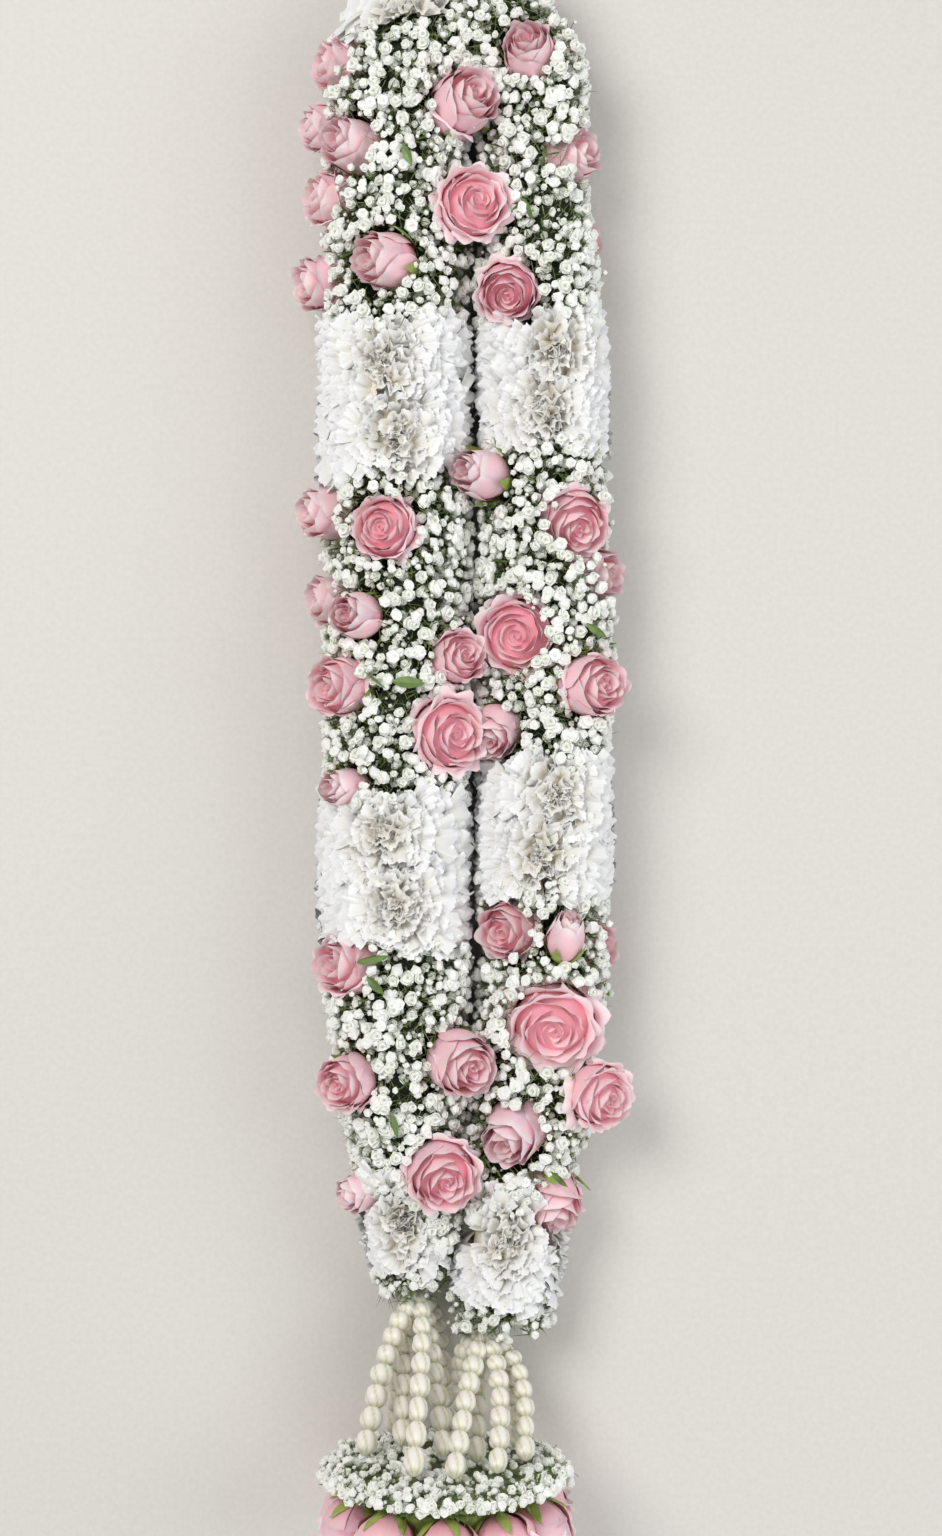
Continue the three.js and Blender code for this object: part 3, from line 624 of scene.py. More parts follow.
def sepals(width, opened, reach, rng):
    """Five narrow leaves that hug the petals from below: radius and height are profiles over v x reach."""
    half, height = width / 2, rose_height(width, opened)
    v = np.linspace(0, 1, 8)[:, None]
    u = np.linspace(-1, 1, 5)[None, :]
    shapes = []
    for k in range(5):
        along = v * reach * rng.uniform(0.85, 1.15)
        radius = half * np.interp(along, [0, 0.12, 0.3, 0.5, 0.8], [0.2, 0.55, 0.86, 1.05, 1.14])
        rise = height * np.interp(along, [0, 0.12, 0.3, 0.5, 0.8], [0.02, 0.08, 0.24, 0.42, 0.62])
        half_angle = np.interp(v, [0, 0.25, 0.6, 1], [0.55, 0.36, 0.2, 0.01])
        turn = k * 2 * np.pi / 5 + rng.uniform(-0.1, 0.1) + u * half_angle
        keel = half * (0.04 * (1 - np.abs(u)) + 0.1 * np.clip(v - 0.75, 0, 1))
        points = np.stack([(radius + keel) * np.cos(turn), (radius + keel) * np.sin(turn), rise + 0 * u], -1)
        shapes.append(sheet(points, (u + 1) / 2, v, rng.uniform(0, 1), 1.0, 1))
    hip = round_shape(np.array([[0, -0.07, 0, 0], [0.2, -0.05, 0, 0], [0.27, 0.03, 0.5, 0], [0.3, 0.1, 0, 0],
                                [0, 0.12, 0, 0]]) * [half, height, 1, 1], 10, base_rings=9)
    return join([*shapes, hip])


def rose(width, opened, seed, reach):
    """A rose with its sepals, looking along +Z from its foot at the origin."""
    rng = np.random.default_rng(seed)
    return join([rose_petals(width, opened, rng), sepals(width, opened, reach, rng)])


print("triangles in a rose:", len(rose(40, 0.5, 1, 0.45)["tris"]))

# %% [markdown]
# The CAD model has a node for each rose in the strands, and the node's box gives its place. For each one
# this table has its width, how far it has opened, the way that it faces (x to the right, y up the lei and
# the rest upwards), and how far its petals stand off that place, to the right and up the lei. Some roses
# stand far enough out of the florets to show their sepals.

# %% The strands' roses
ROSES = {
    "upper_left_1": (37, 0.6, -0.9, 0.1, 2, 0), "upper_left_2": (34, 0.5, -0.93, 0, 3, 0),
    "upper_left_3": (38, 0.4, -0.7, 0.1, 2, 0), "upper_left_4": (37, 0.6, -0.9, 0.1, 3, 0),
    "upper_left_5": (39, 0.4, -0.7, -0.05, 2, 0), "upper_left_6": (37, 0.6, -0.9, -0.1, 3, 0),
    "upper_left_7": (42, 0.5, 0.5, 0.15, 0, 0), "upper_left_8": (45, 0.8, 0.3, 0, 0, 0),
    "upper_right_1": (36, 0.4, -0.2, 0.3, 1, -1), "upper_right_2": (38, 0.5, 0.8, 0.1, -4, 0),
    "upper_right_3": (41, 0.6, -0.1, -0.42, 0, 1), "upper_right_4": (34, 0.6, 0.85, 0.1, -20, 0),
    "upper_right_5": (34, 0.6, 0.85, 0.1, -13, 0), "middle_left_1": (37, 0.5, -0.9, 0, 4, 0),
    "middle_left_2": (42, 0.7, -0.35, 0, 1, 0), "middle_left_3": (38, 0.5, -0.9, 0, 5, 0),
    "middle_left_4": (33, 0.3, -0.5, 0, 1, -1), "middle_left_5": (41, 0.6, -0.65, -0.05, 4, 1),
    "middle_left_6": (48, 0.8, 0.5, -0.05, -4, 0), "middle_left_7": (35, 0.6, 0.5, 0.15, -5, 0),
    "middle_left_8": (30, 0.2, -0.7, 0.1, 7, 0), "middle_right_1": (35, 0.2, -0.65, 0.1, 0, 0),
    "middle_right_2": (45, 0.7, 0.3, -0.5, -4, 2), "middle_right_3": (40, 0.5, 0.85, -0.1, -4, 0),
    "middle_right_4": (50, 0.85, -0.2, -0.1, 2, 2), "middle_right_5": (42, 0.6, 0.6, 0, -1, 1),
    "middle_right_6": (35, 0.4, -0.3, -0.5, 0, 2), "lower_left_1": (42, 0.6, -0.7, 0.1, 4, 0),
    "lower_left_2": (38, 0.6, -0.5, -0.1, 0, 0), "lower_left_3": (44, 0.5, 0.5, -0.2, -3, 2),
    "lower_left_4": (30, 0.4, -0.8, -0.3, 1, 1), "lower_left_5": (47, 0.7, 0.25, -0.3, -4, 5),
    "lower_right_1": (42, 0.6, -0.5, -0.1, 4, 2), "lower_right_2": (27, 0.05, 0.15, 0.8, 1, 0),
    "lower_right_3": (57, 0.95, 0, -0.35, -1, 4), "lower_right_4": (42, 0.8, 0.6, -0.2, 0, 1),
    "lower_right_5": (43, 0.4, -0.4, -0.45, 3, 4), "lower_right_6": (43, 0.6, 0.3, -0.7, -3, 4),
    "lower_right_7": (36, 0.6, 0.8, 0, -8, 0),
}
SHORT_REACH, LONG_REACH = 0.45, 0.75  # how far the sepals go round a rose
LONG_SEPALS = ("upper_left_3", "upper_left_5", "middle_right_1", "middle_left_5", "lower_right_2",
               "lower_right_6")

rose_places = []
for seed, (name, (width, opened, face_x, face_y, right, up)) in enumerate(ROSES.items()):
    low, high = (np.array(corner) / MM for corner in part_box("rose_" + name))
    face = unit(np.array([face_x, face_y, np.sqrt(max(0.02, 1 - face_x ** 2 - face_y ** 2))]))
    foot = (low + high) / 2 - face * rose_height(width, opened) / 2 + [right, up, 0]
    rose_places.append((foot, face, width, opened))
    bloom = rose(width, opened, 100 + seed, LONG_REACH if name in LONG_SEPALS else SHORT_REACH)
    piece("rose_bloom_" + name, placed(bloom, foot, face), [ROSE, SEPAL], "rose_" + name)
print("roses in the strands:", len(rose_places))


# %% Room for the roses
def inside_rose(points, clear):
    """Which points lie in a rose: nearer its axis than the profile of its outside, plus clear."""
    inside = np.zeros(len(points), bool)
    for foot, face, width, opened in rose_places:
        height = rose_height(width, opened)
        offset = points - foot
        up = offset @ face
        out = np.linalg.norm(offset - up[:, None] * face, axis=-1)
        room = width / 2 * np.interp(up / height, [0, 0.2, 0.5, 0.8, 1.0], [0.3, 0.78, 0.98, 0.98, 0.6])
        inside |= (up > -clear) & (up < height + clear) & (out < room + clear)
    return inside


# %% [markdown]
# ## Baby's breath
#
# Baby's breath is a cloud of little white pompoms on thin branching stems, with closed buds among them.
# A particle system could scatter them, but here each stretch is a few coats of florets at their own
# depths, so that the dark green between them shows as it does on the real lei: stems, and under them a
# sleeve painted near black as shade. One floret is a closed round of 60 faces, whose furrow and sunken
# heart catch the shade, and which is painted darker there and underneath as shade too. Six uneven
# variants of it keep the pompoms from looking alike. Round the feet, sprays of florets hang over the
# carnations.

# %% A floret, a bud, a stem and a leaf
def uneven(shape, amount, seed):
    """The same shape with every corner strayed a little."""
    strayed = np.random.default_rng(seed).normal(0, amount, shape["points"].shape)
    return {**shape, "points": shape["points"] + strayed}


# The last number of each ring is its painted shade: low in the furrows, at the hearts and on the undersides.
OPEN_FLORET = round_shape(
    [[0, -0.75, 0, 0], [0.34, -0.58, 0.5, 0.2], [0.92, -0.1, 0, 0.8], [0.98, 0.34, 0.5, 1],
     [0.7, 0.24, 0, 0.42], [0.56, 0.76, 0.5, 1], [0, 0.44, 0, 0.1]], 6, base_rings=1)
FULL_FLORET = round_shape(
    [[0, -0.75, 0, 0], [0.4, -0.6, 0.5, 0.2], [0.95, -0.1, 0, 0.8], [0.84, 0.3, 0.5, 0.9],
     [0.78, 0.62, 0, 1], [0.3, 0.72, 0.5, 0.75], [0, 0.98, 0, 1]], 6, base_rings=1)
FLORET_SHAPES = [uneven(shape, 0.09, seed) for seed, shape in enumerate((OPEN_FLORET, FULL_FLORET) * 3)]
CLOSED_FLORET = round_shape(
    [[0, -0.9, 0, 0], [0.55, -0.45, 0, 0.3], [0.75, 0.25, 0.5, 0.75], [0, 0.95, 0, 0.9]], 5, base_rings=1)
STEM_SHAPE = round_shape([[0, 0, 0, 0], [0.03, 0.05, 0, 0], [0, 1, 0, 0]], 3, base_rings=9)


def leaf_shape(width):
    """A leaf of length 1 along +Z: half width over v, folded along its middle, bent back at the tip."""
    v = np.linspace(0, 1, 5)[:, None]
    u = np.linspace(-1, 1, 3)[None, :]
    wide = width / 2 * np.interp(v, [0, 0.35, 0.7, 1], [0.15, 1, 0.75, 0.02])
    points = np.stack([u * wide, 0.2 * v ** 2 + 0.5 * np.abs(u) * wide, v + 0 * u], -1)
    return sheet(points, (u + 1) / 2, v, 0.5, 1.0, 3)


NARROW_LEAF = leaf_shape(0.16)
BROAD_LEAF = leaf_shape(0.42)
for name, shape in (("floret", OPEN_FLORET), ("closed bud", CLOSED_FLORET), ("stem", STEM_SHAPE)):
    print("faces of a", name, len(shape["tris"]))


# %% Even scatter with clusters
def cluster_noise(a, b, cell, seed):
    """Smooth noise, 0 to 1: a table of random numbers, blended between its four nearest entries."""
    table = np.random.default_rng(seed).uniform(0, 1, (64, 64))
    x, y = a / cell, b / cell
    i, j = np.floor(x).astype(int), np.floor(y).astype(int)
    fx, fy = (f * f * (3 - 2 * f) for f in (x - i, y - j))
    near, far = table[i % 64, j % 64], table[(i + 1) % 64, j % 64]
    near_up, far_up = table[i % 64, (j + 1) % 64], table[(i + 1) % 64, (j + 1) % 64]
    return (near * (1 - fx) + far * fx) * (1 - fy) + (near_up * (1 - fx) + far_up * fx) * fy


def scatter(length, girth, spacing, rng):
    """Points spread evenly but not in rows: a grid with odd rows half a step on, each point strayed."""
    rows, columns = max(1, round(length / (spacing * 0.87))), max(3, round(girth / spacing))
    i, j = (g.ravel() for g in np.meshgrid(np.arange(rows), np.arange(columns), indexing="ij"))
    along = (i + 0.5 + rng.uniform(-0.42, 0.42, i.size)) / rows * length
    around = ((j + (i % 2) / 2 + rng.uniform(-0.42, 0.42, i.size)) / columns) % 1 * girth
    return along, around


def florets_and_buds(places, axes, sizes, closed, rng):
    """A floret on each place, in one of the variants, or a bud where closed."""
    variant = np.where(closed, -1, rng.integers(0, len(FLORET_SHAPES), len(places)))
    parts = [stamp(CLOSED_FLORET, places[closed], axes[closed], sizes[closed] * 0.72, rng)]
    for number, shape in enumerate(FLORET_SHAPES):
        chosen = variant == number
        parts.append(stamp(shape, places[chosen], axes[chosen], sizes[chosen], rng))
    return parts


# %% Coats of florets on a strand
FLORET_RADIUS = 3.5
CLUSTER = 15  # across a cluster of florets
CLUSTER_DEPTH = 5.0  # from the top of a cluster to the hollows between clusters
FLANK_REACH = 6.0  # by how much the flank that faces the other strand stands out further
LOOSE_SHARE = 0.07  # of the outer florets, which stand out on longer stems
OVERHANG = 9.0  # by how much clusters hang over the carnations beside them
SKIRT_SPACING = 1.3  # the skirts' florets stand further apart
# A spray that hangs from a stretch over the carnations: the stretch's strand and end, then the spray's
# middle and half its width in degrees round the strand, and by how much it hangs down.
SPRAYS = {("left", 674): (138, 48, 56), ("right", 687): (162, 42, 20)}
# Each coat: the spacing of its florets, its depth, their size, and the share of closed buds.
COATS = ((7.5, 0.4, 1.14, 0.14), (7.8, 6.0, 0.94, 0.3), (8.6, 10.5, 0.8, 0.6))
DEEPEST = 8.0  # coats deeper than this have no holes
HOLE_NOISE = 0.72  # above this, the noise of the clusters makes a hole
SMALL_SHARE, SMALL_SIZE = 0.27, 0.64
STEM_LENGTH = 13.0
SLEEVE_DEPTH = 15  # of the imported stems


def keep_off(places, strand):
    """Which places lie outside the roses, the neck's band and, for the left strand, the right one."""
    kept = ~inside_rose(places, 1.2) & ~in_neck_band(places)
    return kept & ~inside_strand("right", places, 2) if strand == "left" else kept


def coat_places(strand, span, spacing, depth, rng, seed):
    """Scattered places on a strand, at its radius less the depth and the depth of the clusters.

    They start and end up to OVERHANG beyond the span, where smooth noise round the strand says so, and
    a spray ends further on.
    """
    s0, s1 = span
    girth = 2 * np.pi * STATIONS[strand][:, 2].max()
    reach_down = SPRAYS.get((strand, s1), (0, 0, OVERHANG))[2]
    along, around = scatter(s1 - s0 + OVERHANG + reach_down, girth, spacing, rng)
    s = s0 - OVERHANG + along
    start, end = (OVERHANG * (1.5 * cluster_noise(around, 0 * around, 12, seed + k) - 0.4) for k in (7, 8))
    angle = around / girth * 2 * np.pi
    if (strand, s1) in SPRAYS:
        middle, half, hang = SPRAYS[strand, s1]
        end = np.maximum(end, hang * np.clip(1.3 - np.abs(np.degrees(angle) - middle) / half, 0, 1))
    within = (s > s0 - np.where(s0 < 0, 0, start)) & (s < s1 + end)
    s, around, angle = s[within], around[within], angle[within]
    centre, away, _, radius = round_strand(strand, s, angle)
    lumps = cluster_noise(s, around, CLUSTER, seed)
    reach = radius - FLORET_RADIUS - depth - CLUSTER_DEPTH * lumps ** 1.3 - rng.uniform(0, 2.2, len(s))
    reach += FLANK_REACH * np.maximum(0, -np.cos(angle)) ** 3
    return centre, away, reach, lumps


def coat(strand, span, row, rng, seed, outermost):
    """One coat: florets and buds on their places, each aimed away from the strand, more or less."""
    spacing, depth, size, buds = row
    centre, away, reach, lumps = coat_places(strand, span, spacing, depth, rng, seed)
    count = len(reach)
    loose = outermost & (rng.uniform(0, 1, count) < LOOSE_SHARE)
    reach = reach + loose * rng.uniform(1.5, 5.0, count)
    places = centre + away * reach_limit(centre, away, reach)[:, None]
    places[:, 2] = np.maximum(places[:, 2], FLORET_RADIUS * 0.8)
    missing = 0.12 + 0.5 * (lumps > HOLE_NOISE) if depth < DEEPEST else 0.02
    gaps = rng.uniform(0, 1, count) < missing
    kept = keep_off(places, strand) & ~gaps
    axes = away + rng.normal(0, 0.34, away.shape)
    axes[places[:, 2] < 5, 2] *= 0.2
    closed = rng.uniform(0, 1, count) < buds + 0.5 * loose
    small = np.where(rng.uniform(0, 1, count) < SMALL_SHARE, SMALL_SIZE, 1.0)
    sizes = FLORET_RADIUS * size * rng.uniform(0.78, 1.2, count) * small
    places, axes, sizes = places[kept], axes[kept], sizes[kept]
    parts = florets_and_buds(places, axes, sizes, closed[kept], rng)
    stems = -axes + rng.normal(0, 0.3, axes.shape)
    parts.append(stamp(STEM_SHAPE, places - axes * sizes[:, None] * 0.5, stems, STEM_LENGTH, rng))
    return parts


# Stems and leaves: the shape, its spacing, its depth, its least and greatest length, and how upright.
GREENS = ((STEM_SHAPE, 6.2, 4.5, (9, 14), 0.25), (NARROW_LEAF, 7.5, 8.5, (8, 12), 0.8))


def greens(strand, span, rng, seed):
    """Stems that cross between the florets, and narrow leaves that stand up among them."""
    parts = []
    for shape, spacing, depth, length, upright in GREENS:
        centre, away, reach, _ = coat_places(strand, span, spacing, depth, rng, seed + 1)
        places = centre + away * reach_limit(centre, away, reach)[:, None]
        places[:, 2] = np.maximum(places[:, 2], 4)
        kept = keep_off(places, strand)
        axes = rng.normal(0, 0.6, away.shape)
        axes += away * (upright - (axes * away).sum(-1, keepdims=True))
        lengths = rng.uniform(*length, kept.sum())
        parts.append(stamp(shape, places[kept] - axes[kept] * 2, axes[kept], lengths, rng))
    return parts


def core_sleeve(strand, span, depth, material=2):
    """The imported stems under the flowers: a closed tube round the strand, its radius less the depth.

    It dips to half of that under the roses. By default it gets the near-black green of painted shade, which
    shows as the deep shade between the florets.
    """
    s = np.linspace(*span, max(4, round((span[1] - span[0]) / 8)))
    angle = np.linspace(0, 2 * np.pi, 41)
    grid_s, grid_a = (g.ravel() for g in np.meshgrid(s, angle, indexing="ij"))
    centre, away, _, radius = round_strand(strand, grid_s, grid_a)
    lumps = cluster_noise(grid_s, np.cos(grid_a) * 40 + 300, 9, 5)
    reach = reach_limit(centre, away, radius - depth - 3 * lumps)
    reach = np.where(inside_rose(centre + away * reach[:, None], 5), 0.5 * reach, reach)
    ends = (grid_s == s[0]) | (grid_s == s[-1])
    points = (centre + away * np.where(ends, 4, reach)[:, None]).reshape(len(s), len(angle), 3)
    facing_out = points[:, ::-1] if SIDE[strand] < 0 else points
    return sheet(facing_out, angle[None, :] / 6, s[:, None] / 100, 0.2, 1.0, material)


# %% Broad leaves
# Leaves that stand out over the florets: strand, distance down it, degrees round it, the way that they
# point (x, y), and length.
BROAD_LEAVES = (
    ("right", 70, 118, (0.5, -1.0), 17), ("right", 80, 128, (0.9, 0.4), 13),
    ("left", 366, 92, (1.0, -0.1), 20), ("left", 360, 70, (0.7, -0.7), 18),
    ("left", 536, 62, (1.0, 0.3), 22), ("left", 545, 72, (0.9, -0.6), 17), ("left", 628, 84, (0.2, -1.0), 16),
    ("right", 330, 60, (0.8, -0.6), 15), ("right", 664, 64, (0.8, -0.6), 14),
    ("left", 40, 100, (0.4, -1.0), 15),
)


def broad_leaves(strand, span, rng):
    """The broad leaves of one stretch, with their feet a little under the florets."""
    rows = [row for row in BROAD_LEAVES if row[0] == strand and span[0] < row[1] < span[1]]
    parts = []
    for _, s, degrees, (x, y), length in rows:
        centre, away, _, radius = (g[0] for g in round_strand(strand, [s], np.radians([degrees])))
        axis = unit(np.array([x, y, 0])) + 0.35 * away
        parts.append(stamp(BROAD_LEAF, (centre + away * (radius - 3))[None], axis[None], length, rng))
    return parts


# %% The strands' baby's breath
for strand, stretches in GYPSOPHILA.items():
    for number, (place, span) in enumerate(stretches.items()):
        seed = 40 + number + 10 * SIDE[strand]
        rng = np.random.default_rng(seed)
        # The sleeve is painted near black, as the shade deep among the florets.
        parts = [core_sleeve(strand, span, SLEEVE_DEPTH)]
        parts += greens(strand, span, rng, seed)
        parts += broad_leaves(strand, span, rng)
        thin = SKIRT_SPACING if place == "skirt" else 1.0
        for layer, (spacing, *row) in enumerate(COATS):
            parts += coat(strand, span, (spacing * thin, *row), rng, seed, outermost=layer == 0)
        florets = piece(f"florets_{place}_{strand}", join(parts), [FLORET, STEM, SHADE, LEAF],
                        f"gypsophila_{place}_{strand}", smooth=False)
        print(florets.name, made[florets.name], "triangles")

# %% [markdown]
# ## Carnations
#
# A carnation is a dome of fan-shaped petals with ruffled, toothed rims, which stand up in the middle and
# lie back outside. On the lei the heads are pressed side by side round the strand until no gap is left.
# Round heads set side by side would leave gaps at their corners. So the rims are scattered evenly over the
# band, and each petal leans away from the nearest heart, more so the further away it is. A heart itself
# is filled with a few more petals, turned at random.

# %% One carnation petal
CARNATION_V = np.linspace(0, 1, 7)[:, None]
CARNATION_U = np.linspace(-1, 1, 19)[None, :]
TEETH = 0.9


def carnation_petal_sheet(rim, outward, tilt, depth, rng):
    """A fan in flat coordinates: x goes round the strand, y up it, and z out of its surface.

    Its middle line ends at rim. Back from there each step of its length goes down by the cosine of the
    lean and inwards by the sine, with lean = tilt x profile(v). Across = half width x profile(v) x u.
    Ruffles move the sheet to both sides of itself by amplitude x v to the power 1.3 x two sines of u,
    and teeth set every other rim point back.
    """
    u, v = CARNATION_U, CARNATION_V
    length = (15 + 8 * depth) * rng.uniform(0.9, 1.15)
    lean = tilt * np.interp(v, [0, 0.5, 1], [0.5, 0.95, 1.25])
    step = length / (len(v) - 1)
    back = 0.15 * length * u ** 2 * v ** 2 + TEETH * (np.arange(u.size) % 2)[None, :] * (v == 1)
    rise = np.cumsum(np.cos(lean) * step, 0)
    reach = np.cumsum(np.sin(lean) * step, 0)
    waves = np.sin(rng.uniform(1.5, 2.7) * np.pi * u + rng.uniform(0, 6))
    waves = waves + 0.4 * np.sin(rng.uniform(4.0, 6.0) * np.pi * u + rng.uniform(0, 6))
    ruffle = (3.2 - 1.0 * depth) * rng.uniform(0.8, 1.25) * v ** 1.2 * waves
    rise = rise - rise[-1] - back * np.cos(lean) + ruffle * np.sin(lean)
    reach = reach - reach[-1] - back * np.sin(lean) - ruffle * np.cos(lean)
    half_width = (9.5 + 4.5 * depth) * rng.uniform(0.85, 1.2)
    across = half_width * u * np.interp(v, [0, 0.3, 0.75, 1], [0.12, 0.5, 0.92, 1.0])
    x = rim[0] + reach * outward[0] - across * outward[1]
    y = rim[1] + reach * outward[1] + across * outward[0]
    points = np.stack([x, y, rim[2] + rise], -1)
    return sheet(points[:, ::-1], (1 - u) / 2 + rng.integers(0, 9), v, rng.uniform(0, 1), 0.25 + 0.75 * depth)


# %% Petals round a strand
PETAL_SPACING = 8.6
HEAD_REACH = 38  # from a heart to where the petals lie flattest
PETAL_TILT = (24, 30, 42, 58)  # degrees, from the heart to there
HEART_PETALS, HEART_STRAY = 7, 2.5  # more petals that fill each heart, and how far they stray from it
OVERLAP = 5  # by how much the petals of neighbouring heads cross there
BAND_FLANK = 3.0  # by how much the flank that faces the other strand stands out further


def wrapped(shape, strand, s, angle):
    """A flat shape bent round a strand: x becomes an arc round it, y a way up it, z a distance out of it."""
    x, y, z = shape["points"].T
    _, _, _, at = strand_frame(strand, s)
    centre, away, _, radius = round_strand(strand, s - y, angle - SIDE[strand] * x / at)
    return {**shape, "points": centre + away * reach_limit(centre, away, radius + z)[:, None]}


def hearts_round(strand, s, first, count):
    """Hearts at equal steps round a strand, the first at an angle in degrees: rows of s and angle."""
    return [(s, np.radians(first + 360 / count * k)) for k in range(count)]


def carnation_petals(strand, span, hearts, wanted, rng):
    """Petals over a band. Each takes its way out and its tilt from where its nearest heart lies."""
    s0, s1 = span
    at = strand_frame(strand, (s0 + s1) / 2)[3][0]
    along, around = scatter(s1 - s0, 2 * np.pi * at, PETAL_SPACING, rng)
    hearts = np.array(hearts)
    strayed = rng.normal(0, HEART_STRAY, (len(hearts) * HEART_PETALS, 2)) / [1, at]
    filling = np.repeat(hearts, HEART_PETALS, axis=0) + strayed
    sites = np.concatenate([np.stack([s0 + along, around / at], -1), filling])
    shapes = []
    for s, angle in sites:
        turn = (hearts[:, 1] - angle + np.pi) % (2 * np.pi) - np.pi
        to_heart = np.stack([-SIDE[strand] * turn * at, s - hearts[:, 0]], -1)
        far = np.linalg.norm(to_heart, axis=-1)
        nearest = far.argmin()
        depth = min(1.0, far[nearest] / HEAD_REACH)
        outward = unit(unit(-to_heart[nearest]) + rng.normal(0, 0.22 + 0.9 * (1 - depth) ** 2, 2))
        tilt = np.radians(np.interp(depth, np.linspace(0, 1, 4), PETAL_TILT) + rng.uniform(-13, 13))
        flank = BAND_FLANK * max(0, -np.cos(angle)) ** 3
        rim = [*(outward * OVERLAP * depth), flank - rng.uniform(0, 4.5) - depth]
        shape = wrapped(carnation_petal_sheet(rim, outward, tilt, depth, rng), strand, [s], angle)
        if wanted(shape["points"][[-10]])[0]:
            shapes.append(shape)
    return shapes


# %% The carnation bands
CORE_DEPTH = 11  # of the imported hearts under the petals
FOOT_EARLY = 6  # by how much the feet's petals start before their stretch
# The sprays over the feet reach across from a line that leans inwards down the lei, x = the first number
# - lean x (y - the second), and have these limits.
SPRAY_LINE, SPRAY_LEAN = (-34.7, -275.6), 0.54
SPRAY_X, SPRAY_Y, SPRAY_Z = 7, (-323, -262), 28
FOOT_HEARTS = {"left": (702, 80, 3), "right": (712, 104, 3)}  # distance down, degrees round, how many


def outside_others(points):
    """Which points lie outside the roses and the sprays over the feet."""
    x, y, z = points.T
    edge = SPRAY_LINE[0] - SPRAY_LEAN * (y - SPRAY_LINE[1])
    in_spray = (x > edge) & (x < SPRAY_X) & (y > SPRAY_Y[0]) & (y < SPRAY_Y[1]) & (z > SPRAY_Z)
    return ~inside_rose(points, 0.5) & ~in_spray


for strand, bands in CARNATIONS.items():
    for number, (place, (s0, s1)) in enumerate(bands.items()):
        rng = np.random.default_rng(20 + number + 5 * SIDE[strand])
        length = s1 - s0
        if place == "foot":
            hearts = hearts_round(strand, *FOOT_HEARTS[strand])
        else:
            hearts = hearts_round(strand, s0 + 0.27 * length, 84, 2)
            hearts += hearts_round(strand, s0 + 0.74 * length, 98, 2)
        early = FOOT_EARLY if place == "foot" else 0
        petals = carnation_petals(strand, (s0 - early, s1), hearts, outside_others, rng)
        core = core_sleeve(strand, (s0 + 3 + early, s1 - 3), CORE_DEPTH, 1)
        piece(f"carnation_heads_{place}_{strand}", join([*petals, core]), [CARNATION, HEARTWOOD],
              f"carnations_{place}_{strand}")

rng = np.random.default_rng(31)
hearts = hearts_round("left", -QUARTER_TURN - 6, 70, 4) + [(-45, np.radians(70))]
neck = carnation_petals("left", (-QUARTER_TURN - 24, -22), hearts, in_neck_band, rng)
neck += [core_sleeve(strand, (-QUARTER_TURN, NECK_EDGE - 3), CORE_DEPTH + 4, 1) for strand in SIDE]
piece("carnation_heads_neck", join(neck), [CARNATION, HEARTWOOD], "carnations_neck")
print("triangles in the carnations:", sum(count for name, count in made.items() if "carnation" in name))

# %% [markdown]
# ## Jasmine strings
#
# Closed jasmine buds are threaded end to end on cotton and hang in two sheaves, each knotted under a
# foot and spread over the pendant. The thread could be a curve object. Here it is a tube along the same
# cubic curve that the buds sit on, so the thread runs through every bud.

# %% Sizes of the strings
PENDANT = np.array([-10.0, -437.0, 84.0])
STRING_END = -430.3  # the y where the strings end, in the pendant's florets
STRING_FLARE = 1.9  # how far the curve's second point stands out, as a share of a string's own place
STRING_DROP = 12  # from the knot down to that point
STRING_SAG = 4
FIRST_BUD = 0.7  # the size of the first bud, as a share of the others'
THREAD_RADIUS = 0.8
KNOT_RADIUS = 4.6
# For each string the x and z of its top, the direction and the distance from the pendant's middle where
# it ends, and its buds' radius.
STRINGS = {
    "left": {"knot": (-27, -347.35, 28), "buds": 9, "paths": (
        (-36, 34, 172, 50, 6.6), (-25, 42, 112, 50, 5.6), (-24, 30, 97, 9, 5.4),
        (-32, 18, 207, 31, 5.4), (-20, 16, 270, 45, 5.2), (-36, 22, 228, 48, 5.4))},
    "right": {"knot": (13, -369.35, 36), "buds": 8, "paths": (
        (9, 52, 84, 50, 6.0), (20, 48, 52, 50, 5.6), (28, 38, 18, 50, 5.6),
        (12, 34, 45, 26, 5.4), (2, 30, -75, 48, 5.4), (24, 26, -10, 45, 5.4))},
}


# %% Buds and strings
def bud_shape():
    """A bud of radius 1 from -1 to 1 along Z: a round profile over v, pinched along five turning seams."""
    v = np.linspace(0, 1, 13)[:, None]
    angle = np.linspace(0, 2 * np.pi, 31)[None, :]
    profile = np.interp(v, [0, 0.04, 0.14, 0.32, 0.52, 0.74, 0.9, 0.97, 1],
                        [0, 0.3, 0.66, 0.94, 1, 0.92, 0.66, 0.34, 0])
    seam = np.abs(np.sin(2.5 * (angle + 1.1 * v))) ** 0.7
    radius = profile * (0.84 + 0.16 * seam)
    points = np.stack([radius * np.cos(angle), radius * np.sin(angle), 2 * v - 1 + 0 * angle], -1)
    return sheet(points, seam, v)


BUD_SHAPE = bud_shape()
KNOT_SHAPE = round_shape(
    [[0, -1, 0, 0], [0.8, -0.6, 0, 0], [1, 0, 0.5, 0], [0.8, 0.6, 0, 0], [0, 1, 0, 0]], 8, base_rings=9)


def thread(path, radius):
    """A tube along a path: each point + radius x (side x cosine + over x sine)."""
    along = unit(np.gradient(path, axis=0))
    side = unit(np.cross(along, [[1.0, 0.2, 0.1]]))
    turn = np.linspace(0, 2 * np.pi, 7)[None, :, None]
    ring = side[:, None] * np.cos(turn) + np.cross(along, side)[:, None] * np.sin(turn)
    return sheet(path[:, None] + radius * ring, turn[..., 0], np.zeros((len(path), 1)), 0.5, 1.0, 1)


